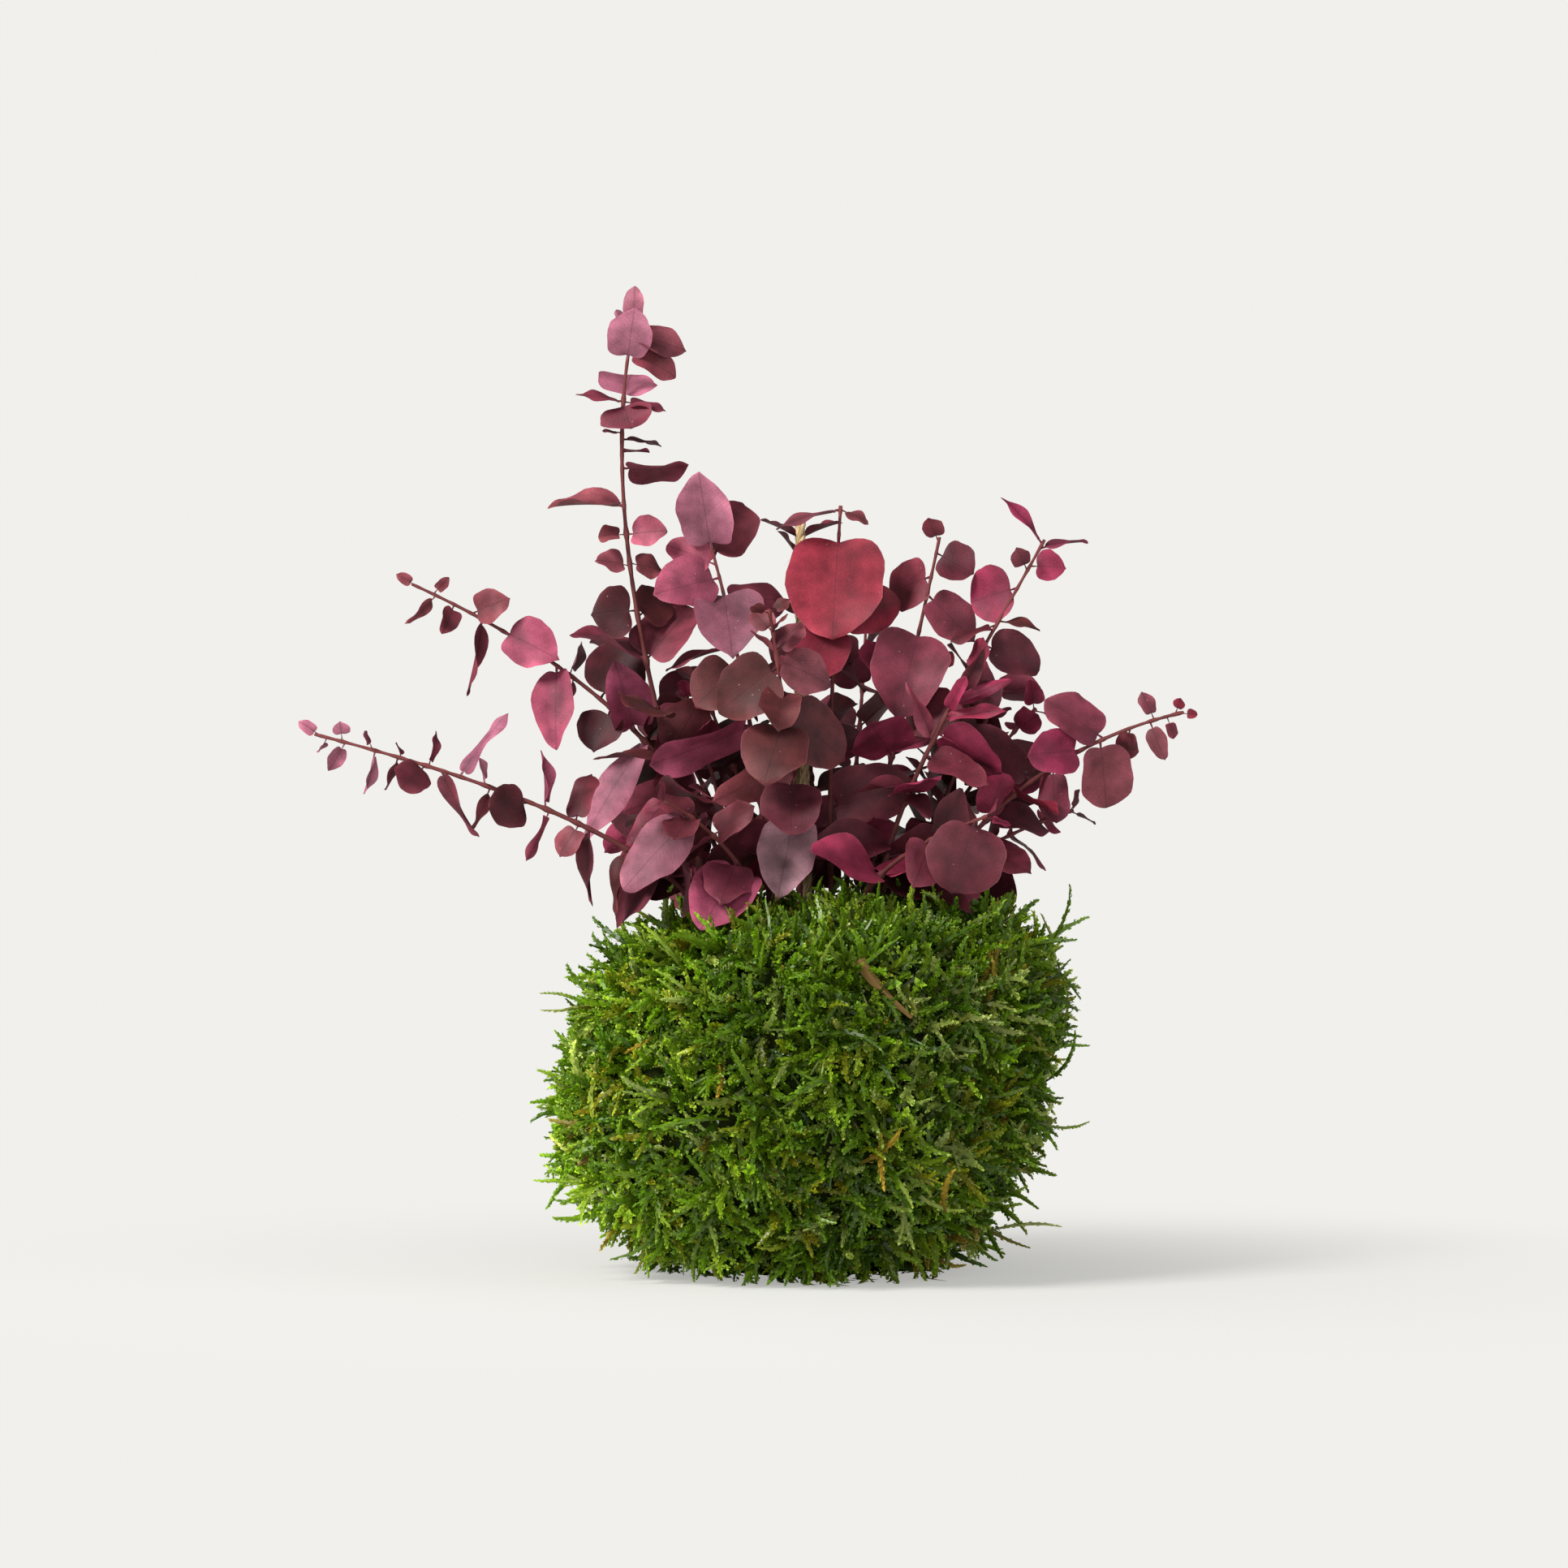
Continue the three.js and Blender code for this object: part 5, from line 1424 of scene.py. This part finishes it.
class Shoot:
    """An upright shoot whose height is 1 for length in mm. shade is the painted light and shade at each of
    its points.

    A branch has its start, its angle round the shoot, its lean, its share of the length and its scales."""

    def __init__(self, length, scales, scale_mm, branches=(), star=0, stretches=4):
        self.length = length
        self.points, self.corners, self.sizes, self.shade = [], [], [], []
        self.grow((0, 0, 0), (0, 0, 1), length, scales, scale_mm, stretches)
        for start, round_it, lean, share, count in branches:
            out = math.sin(lean)
            way = (out * math.cos(round_it), out * math.sin(round_it), math.cos(lean))
            self.grow((0, 0, start * length), way, share * length, count, scale_mm * BRANCH_SCALE, 1)
        for i in range(star):
            round_it = 2 * math.pi * i / star
            way = (math.cos(round_it), math.sin(round_it), STAR_RISE)
            self.put_scale((0, 0, length * STAR_HEIGHT), way, scale_mm * STAR_SCALE)
        self.points = np.concatenate(self.points) / (1, 1, length)
        self.corners = np.concatenate(self.corners)
        self.sizes = np.concatenate(self.sizes)
        height = np.clip(self.points[:, 2], 0, 1)
        # Painted shade towards the root and painted light towards the tip.
        self.shade = np.concatenate(self.shade) * (ROOT_SHADE + TIP_LIGHT * height**LIGHT_CURVE)

    def put(self, shape, points, foot, way, shade):
        """Adds a template's points, turned the way it grows."""
        way = unit(np.array(way, float))
        roll = np.array([math.atan2(way[1], way[0])])
        self.corners.append(shape.corners + sum(len(part) for part in self.points))
        self.sizes.append(shape.sizes)
        self.points.append(aimed(points[None], way[None], roll)[0] + foot)
        self.shade.append(shade)

    def put_scale(self, foot, way, size):
        """Adds one scale, with painted shade at its foot and a painted highlight towards its point."""
        points = scale_shape.points[:, [0, 2, 1]] * (size, -size, size)
        shade = SCALE_FOOT_SHADE + SCALE_TIP_HIGHLIGHT * scale_shape.points[:, 1]
        self.put(scale_shape, points, np.array(foot, float), way, shade)

    def grow(self, foot, way, length, scales, scale_mm, stretches):
        """Adds a body, thickest in its middle, with scales set round it as on a cone."""
        foot, way = np.array(foot, float), np.array(way, float)
        points = body_shapes[stretches].points.copy()
        high = points[:, 2]
        spindle = 0.5 + 0.5 * np.sin(math.pi * np.clip(SPINDLE_OVER * high, 0, 1))
        thick = BODY_MM * spindle * (1 - TIP_THINNING * high**4)
        points *= np.stack([thick, thick, np.full(len(thick), length)], axis=1)
        self.put(body_shapes[stretches], points, foot, way, np.full(len(points), BODY_SHADE))
        side = unit(np.cross(way, ANY_OTHER_WAY))
        front = np.cross(way, side)
        for i in range(scales):
            share = SCALES_FROM + SCALES_OVER * (i + 1) / scales
            outward = side * math.cos(GOLDEN * i) + front * math.sin(GOLDEN * i)
            root = foot + way * length * share + outward * BODY_MM * SCALE_SEAT * (1 - share**3)
            size = scale_mm * (SCALE_SIZE - SIZE_LOST * share**2)
            self.put_scale(root, outward * (SCALE_LEAN - LEAN_LOST * share**4) + way, size)


# %% Kinds of shoot
SHOOTS = [
    Shoot(13, 28, 1.5),
    Shoot(17, 34, 1.45),
    Shoot(14, 22, 1.5, branches=[(0.4, 0.5, 0.8, 0.5, 12)]),
    Shoot(16, 18, 1.4, branches=[
        (0.25, 0.0, 0.9, 0.34, 6), (0.4, 3.1, 0.9, 0.36, 6), (0.55, 0.2, 0.85, 0.3, 5),
        (0.7, 3.3, 0.8, 0.24, 4),
    ]),
    Shoot(12, 20, 1.5, star=5),
    Shoot(20, 34, 1.2),
    Shoot(10, 14, 1.7, stretches=2),
]
SHOOT_SHARES = (0.29, 0.25, 0.21, 0.17, 0.03, 0.05, 0)
LONG_KIND, THIN_KIND, FILLER_KIND = 1, 5, 6
print("shoot triangles:", [int((shoot.sizes - 2).sum()) for shoot in SHOOTS])

# %% [markdown]
# ### Planting the shoots
#
# Moss grows in tufts. A tuft's shoots rise from nearly one spot and fan out, and between two tufts the eye
# falls into a dark gap. So the tufts are set out first, in rows the same distance apart from the foot of the
# ball to its crown. A slow wave over the ball sets how far each tuft leans, and each gets its own green. The
# shoots on the left of the ball are painted lighter, as painted light on the side that faces the key light.
# Short plain shoots, evenly spread and leaning anyhow, fill the ground between the tufts.

# %% Waves and rows over the ball
WAVES = 5
WAVE_HEIGHT = 2.2
PROFILE_POINTS = 900
FIRST_ROW = 0.3
CLOSER_ROWS = 0.9
JITTER = 0.4


def wave(points, length, seed):
    """A smooth value between about -1 and 1 that changes over a length in mm."""
    ways = np.random.default_rng(seed).standard_normal((WAVES, 3)) * 2 * math.pi / length
    starts = np.random.default_rng(seed + 1).random(WAVES) * 2 * math.pi
    return np.sin(points @ ways.T + starts).sum(axis=1) / WAVE_HEIGHT


def rows_over_ball(spacing):
    """Angles round and above for places that lie evenly over the ball, a spacing in mm apart."""
    levels = np.linspace(FOOT_LEVEL, math.pi / 2, PROFILE_POINTS)
    along = lengths_along(ball_point(np.zeros(PROFILE_POINTS), levels))
    rounds, heights = [], []
    for at in np.arange(FIRST_ROW * spacing, along[-1], spacing * CLOSER_ROWS):
        ring = np.linalg.norm(ball_point(np.zeros(1), np.interp([at], along, levels))[0, :2])
        count = max(3, round(2 * math.pi * ring / spacing))
        steps = np.arange(count) + rng.uniform(-JITTER, JITTER, count) + rng.random()
        rounds.append(2 * math.pi * steps / count)
        heights.append(np.interp(at + spacing * rng.uniform(-JITTER, JITTER, count), along, levels))
    return np.concatenate(rounds), np.concatenate(heights)


def surface_frame(round_it, level):
    """The ball's points with the ways out, sideways and up along its surface."""
    step = 0.01
    place = ball_point(round_it, level)
    sideways = unit(ball_point(round_it + step, level) - ball_point(round_it - step, level))
    upward = ball_point(round_it, level + step) - ball_point(round_it, level - step)
    outward = unit(np.cross(sideways, upward))
    return place, outward, sideways, np.cross(outward, sideways)


# %% Tufts, each with its way and its green
MOSS_GREENS = np.array([
    linear(72, 106, 10), linear(104, 140, 15), linear(142, 168, 40), linear(174, 188, 96),
    linear(152, 144, 22), linear(158, 118, 46),
])
GREEN_SHARES = (0.34, 0.4, 0.14, 0.06, 0.05, 0.01)
TUFT_MM = 8.3
# Each wave has its length in mm and its seed.
SWIRL_WAVE, LEAN_WAVE, GREEN_WAVE, LENGTH_WAVE = (80, 3), (34, 5), (45, 12), (26, 9)
SWIRL, SWIRL_SPREAD = 2.8, 0.7
LEAN, LEAN_CHANGE, LEAN_SPREAD = 1.1, 0.3, 0.2
LEAN_RANGE = (0.1, 1.4)
GREEN_CHANGE = 0.25
TUFT_LIGHT = (0.7, 1.3)

tuft_place, tuft_out, tuft_side, tuft_up = surface_frame(*rows_over_ball(TUFT_MM))
tufts = len(tuft_place)
swirl = SWIRL * wave(tuft_place, *SWIRL_WAVE) + SWIRL_SPREAD * rng.standard_normal(tufts)
lean = LEAN + LEAN_CHANGE * wave(tuft_place, *LEAN_WAVE) + LEAN_SPREAD * rng.standard_normal(tufts)
lean = np.clip(lean, *LEAN_RANGE)
tuft_along = tuft_side * np.cos(swirl)[:, None] + tuft_up * np.sin(swirl)[:, None]
tuft_way = unit(tuft_out * np.cos(lean)[:, None] + tuft_along * np.sin(lean)[:, None])
tuft_green = MOSS_GREENS[rng.choice(len(MOSS_GREENS), tufts, p=GREEN_SHARES)]
tuft_green = tuft_green * (1 + GREEN_CHANGE * wave(tuft_place, *GREEN_WAVE)[:, None])
tuft_green *= rng.uniform(*TUFT_LIGHT, (tufts, 1))
print("tufts:", tufts)

# %% Shoots in tufts and between them
TUFT_SHOOTS = 8
TUFT_SPREAD_MM = 3.4
FAN = 0.13
UNRULY = 0.34
FILLER_MM = 5.2
FILLER_RISE = 0.55

tuft = np.repeat(np.arange(tufts), TUFT_SHOOTS)
in_tufts = len(tuft)
off_side, off_up = rng.normal(0, TUFT_SPREAD_MM, (2, in_tufts, 1))
spread = tuft_side[tuft] * off_side + tuft_up[tuft] * off_up
tuft_ways = unit(tuft_way[tuft] + spread * FAN + UNRULY * rng.standard_normal((in_tufts, 3)))
filler_place, filler_out, filler_side, filler_up = surface_frame(*rows_over_ball(FILLER_MM))
fillers = len(filler_place)
filler_turn = rng.random((fillers, 1)) * 2 * math.pi
filler_along = filler_side * np.cos(filler_turn) + filler_up * np.sin(filler_turn)
filler_ways = unit(FILLER_RISE * filler_out + filler_along)
print("shoots in tufts:", in_tufts, "and between them:", fillers)

# %% How every shoot stands
FLOOR_REACH_MM = 16
OFF_FLOOR_OUT, OFF_FLOOR_UP = (0.9, 0.9, 0), (0, 0, 0.7)
GIRTH_RANGE = (0.75, 1.3)
STRETCH_RANGE = (0.6, 1.15)
STRETCH_CHANGE = 0.2
BEND_RANGE = (0.4, 2.1)
CROWN_FROM_MM = 94
CROWN_RISE_MM = 8
CROWN_SHORTER = 0.2

place = np.concatenate([tuft_place[tuft] + spread, filler_place])
outward = np.concatenate([tuft_out[tuft], filler_out])
way = np.concatenate([tuft_ways, filler_ways])
count = len(place)
near_floor = np.clip(1 - place[:, 2:] / FLOOR_REACH_MM, 0, 1)
way = unit(way + near_floor * (outward * OFF_FLOOR_OUT + OFF_FLOOR_UP))
kinds = rng.choice(len(SHOOTS), count, p=SHOOT_SHARES)
kinds[in_tufts:] = FILLER_KIND
girth = rng.uniform(*GIRTH_RANGE, count)
crown = np.clip((place[:, 2] - CROWN_FROM_MM) / CROWN_RISE_MM, 0, 1)
stretch = rng.uniform(*STRETCH_RANGE, count) * (1 - CROWN_SHORTER * crown)
stretch *= 1 + STRETCH_CHANGE * wave(place, *LENGTH_WAVE)
bend = rng.uniform(*BEND_RANGE, count) * rng.choice((-1, 1), count)
roll = rng.random(count) * 2 * math.pi
print("kinds of shoot:", np.bincount(kinds).tolist())

# %% The green of every shoot
TUFT_SHARE = 0.6
FILLER_SHADE = 0.82
LEFT_LIGHT_FROM_MM = -12
PLAIN, LEFT_PAINTED_LIGHT = 1.07, 0.66
SHOOT_LIGHT = (0.75, 1.25)

greens = MOSS_GREENS[rng.choice(len(MOSS_GREENS), count, p=GREEN_SHARES)]
greens[:in_tufts] = TUFT_SHARE * tuft_green[tuft] + (1 - TUFT_SHARE) * greens[:in_tufts]
greens[in_tufts:] *= FILLER_SHADE
# Painted light: shoots on the left, towards the key light, are made lighter.
left_lit_share = np.clip((LEFT_LIGHT_FROM_MM - place[:, :1]) / (BALL_HALF["x"] + LEFT_LIGHT_FROM_MM), 0, 1)
greens *= (PLAIN + LEFT_PAINTED_LIGHT * left_lit_share) * rng.uniform(*SHOOT_LIGHT, (count, 1))
print("mean green:", greens.mean(axis=0).round(3).tolist())

# %% Planting them
ROOT_MM = 2.4
FLOOR_CLEAR_MM = 0.4
SECTORS = 5


def plant(copies, shoot, who):
    """Adds copies of one kind of shoot at the roots numbered in who. Low ones level off above the floor."""
    curved = bent(shoot.points, shoot.length * stretch[who], bend[who], girth[who])
    points = (place - outward * ROOT_MM)[who][:, None] + aimed(curved, way[who], roll[who])
    low = points[:, :, 2] < 2 * FLOOR_CLEAR_MM
    eased = FLOOR_CLEAR_MM * (1 + np.exp(np.minimum(points[:, :, 2] / FLOOR_CLEAR_MM - 2, 0)))
    points[:, :, 2] = np.where(low, eased, points[:, :, 2])
    copies.add(shoot, points, tone=greens[who][:, None] * shoot.shade[None, :, None])


moss = Finish("feather_moss", 0.38, (1500, 1.0), (90, 0.6), **{"Specular IOR Level": 0.4})
moss.colour(moss.attribute("tone"))
sector = (np.arctan2(place[:, 1], place[:, 0]) / (2 * math.pi) % 1 * SECTORS).astype(int)
for part in range(SECTORS):
    copies = Copies()
    for kind, shoot in enumerate(SHOOTS):
        plant(copies, shoot, np.flatnonzero((sector == part) & (kinds == kind)))
    copies.piece(f"moss_shoots_{part + 1}", [moss.material], smooth=False)

# %% [markdown]
# ### Wisps and litter
#
# A few long wisps stand far out of the ball, and bits of dry moss and three short twigs are caught in it.
# They are placed one by one, from root to tip.

# %% One shoot from a root to a tip
SLACK = 1.05
ANY_ROLL = 6.28


def single(copies, shape, root, tip, girth_mm, bend_by, tone):
    """Adds one bent copy from a root to a tip."""
    root, tip = np.array(root, float), np.array(tip, float)
    reach = float(np.linalg.norm(tip - root))
    curved = bent(shape.points, np.array([reach * SLACK]), np.array([bend_by]), np.array([girth_mm]))
    points = root + aimed(curved, unit((tip - root)[None]), rng.random(1) * ANY_ROLL)
    copies.add(shape, points, tone=tone)


# %% Wisps
WISP_GIRTH = 0.62
WISP_BEND = 1.1
WISPS = [
    ((62, -8, 90), (80, -12, 112)), ((66, -6, 62), (78, -14, 88)), ((64, 2, 78), (77, 4, 100)),
    ((64, -14, 56), (79, -20, 64)), ((62, -10, 44), (76, -12, 38)), ((48, -20, 14), (68, -24, 20)),
    ((-64, -6, 46), (-81, -8, 38)), ((-64, -4, 74), (-75, -8, 88)), ((-60, 4, 84), (-74, 2, 66)),
    ((-30, -50, 30), (-38, -72, 22)), ((20, 62, 60), (32, 79, 70)), ((-40, 48, 70), (-52, 64, 84)),
    ((44, 46, 40), (60, 60, 34)), ((0, -60, 84), (-6, -74, 98)),
]

wisps = Copies()
for number, (root, tip) in enumerate(WISPS):
    shoot = SHOOTS[THIN_KIND if number % 3 else LONG_KIND]
    tone = MOSS_GREENS[1 + number % 3] * shoot.shade[:, None]
    single(wisps, shoot, root, tip, WISP_GIRTH, (-1) ** number * WISP_BEND, tone)
wisps.piece("moss_wisps", [moss.material], smooth=False)

# %% Dry moss and twigs
DRY_TONE, TWIG_TONE = linear(180, 150, 44), linear(136, 106, 62)
DRY_GIRTH, DRY_BEND = 0.9, 0.7
TWIG_GIRTH_MM, TWIG_BEND = 1.9, 0.35
# Root, tip and kind of shoot.
DRY_SHOOTS = [
    ((10, -62, 36), (24, -68, 41), 2), ((18, -62, 44), (12, -69, 32), 0), ((34, -54, 22), (31, -62, 34), 1),
    ((-30, -54, 66), (-24, -64, 56), 0), ((-44, -40, 72), (-52, -48, 66), 2), ((50, 36, 60), (60, 40, 70), 1),
    ((-30, 56, 50), (-22, 66, 58), 2), ((10, 62, 84), (20, 70, 80), 0),
]
TWIGS = [
    ((10, -60, 92), (21, -64, 75)), ((-58, -22, 40), (-69, -24, 33)), ((30, 58, 50), (24, 68, 36)),
]

dry = Finish("dry_moss", 0.8, (1500, 0.6), (200, 0.3), **{"Specular IOR Level": 0.2})
dry.colour(dry.attribute("tone"))
litter = Copies()
for root, tip, kind in DRY_SHOOTS:
    shoot = SHOOTS[kind]
    single(litter, shoot, root, tip, DRY_GIRTH, DRY_BEND, DRY_TONE * shoot.shade[:, None])
for root, tip in TWIGS:
    single(litter, petiole, root, tip, TWIG_GIRTH_MM, TWIG_BEND, TWIG_TONE)
litter.piece("moss_litter", [dry.material], smooth=False)

# %% [markdown]
# ## Floor and light
#
# The plant is shown on a plain pale floor that runs into a background of the same tone. The floor glows a
# little, as a sheet lit from below does, so that it ends in the background with no line, and it still takes
# the soft shadow at the foot. One large soft light stands at the front left, where the moss and the upper
# leaves are brightest, and a weaker one at the right.

# %% Floor
BACKGROUND = linear(241, 240, 236)
FLOOR_COLOUR = (0.78, 0.78, 0.76)
FLOOR_RADIUS = 9.0
PAPER_TO, GLOW_FROM = 0.02, 0.3
GLOW_AT_PLANT = 0.45


def floor_finish():
    """Paper near the plant, and beyond it the background's own tone, which only the camera sees."""
    material = bpy.data.materials.new("pale_floor")
    material.use_nodes = True
    tree = material.node_tree
    tree.nodes.clear()
    places = node(tree, "TexCoord")
    distance = node(tree, "VectorMath", operation="LENGTH")
    tree.links.new(places.outputs["Object"], distance.inputs[0])
    fade = node(tree, "MapRange", interpolation_type="SMOOTHSTEP")
    fade.inputs["From Min"].default_value = PAPER_TO
    fade.inputs["From Max"].default_value = GLOW_FROM
    fade.inputs["To Min"].default_value = GLOW_AT_PLANT
    tree.links.new(distance.outputs["Value"], fade.inputs["Value"])
    path_kind = node(tree, "LightPath")
    seen_share = node(tree, "Math", operation="MULTIPLY")
    tree.links.new(fade.outputs["Result"], seen_share.inputs[0])
    tree.links.new(path_kind.outputs["Is Camera Ray"], seen_share.inputs[1])
    paper = node(tree, "BsdfDiffuse", Color=(*FLOOR_COLOUR, 1))
    glow = node(tree, "Emission", Color=(*BACKGROUND, 1), Strength=1.0)
    mixed = node(tree, "MixShader")
    output = node(tree, "OutputMaterial")
    tree.links.new(seen_share.outputs[0], mixed.inputs[0])
    tree.links.new(paper.outputs[0], mixed.inputs[1])
    tree.links.new(glow.outputs[0], mixed.inputs[2])
    tree.links.new(mixed.outputs[0], output.inputs["Surface"])
    return material


floor = add(bpy.ops.mesh.primitive_circle_add, "floor", vertices=96, radius=FLOOR_RADIUS, fill_type="TRIFAN")
floor.data.materials.append(floor_finish())
print("floor radius:", FLOOR_RADIUS, "m")

# %% Background
SURROUND_LIGHT = 0.19

world = bpy.data.worlds.new("studio")
world.use_nodes = True
bpy.context.scene.world = world
sky = world.node_tree
sky.nodes.clear()
seen = node(sky, "Background", Color=(*BACKGROUND, 1), Strength=1.0)
filled = node(sky, "Background", Color=(*BACKGROUND, 1), Strength=SURROUND_LIGHT)
path_kind = node(sky, "LightPath")
both = node(sky, "MixShader")
sky_output = node(sky, "OutputWorld")
sky.links.new(path_kind.outputs["Is Camera Ray"], both.inputs[0])
sky.links.new(filled.outputs[0], both.inputs[1])
sky.links.new(seen.outputs[0], both.inputs[2])
sky.links.new(both.outputs[0], sky_output.inputs["Surface"])
print("share of the light that comes from all round:", SURROUND_LIGHT)

# %% Soft lights
PLANT_MIDDLE = Vector((0, 0, 0.13))


def soft_light(name, place, size, watts, colour=(1, 1, 1)):
    """A square area light that looks at the plant."""
    aim = PLANT_MIDDLE - Vector(place)
    bpy.ops.object.light_add(type="AREA", location=place, rotation=aim.to_track_quat("-Z", "Y").to_euler())
    light = bpy.context.object
    light.name = name
    light.data.size = size
    light.data.energy = watts
    light.data.color = colour


soft_light("key", (-0.95, -0.75, 1.1), 0.5, 29, (1.0, 0.985, 0.96))
soft_light("side", (1.2, -0.5, 0.6), 0.7, 4, (0.97, 0.98, 1.0))
soft_light("front", (0.1, -1.6, 0.5), 0.8, 6)

bpy.context.scene.view_settings.view_transform = "Standard"
bpy.context.scene.view_settings.look = "None"
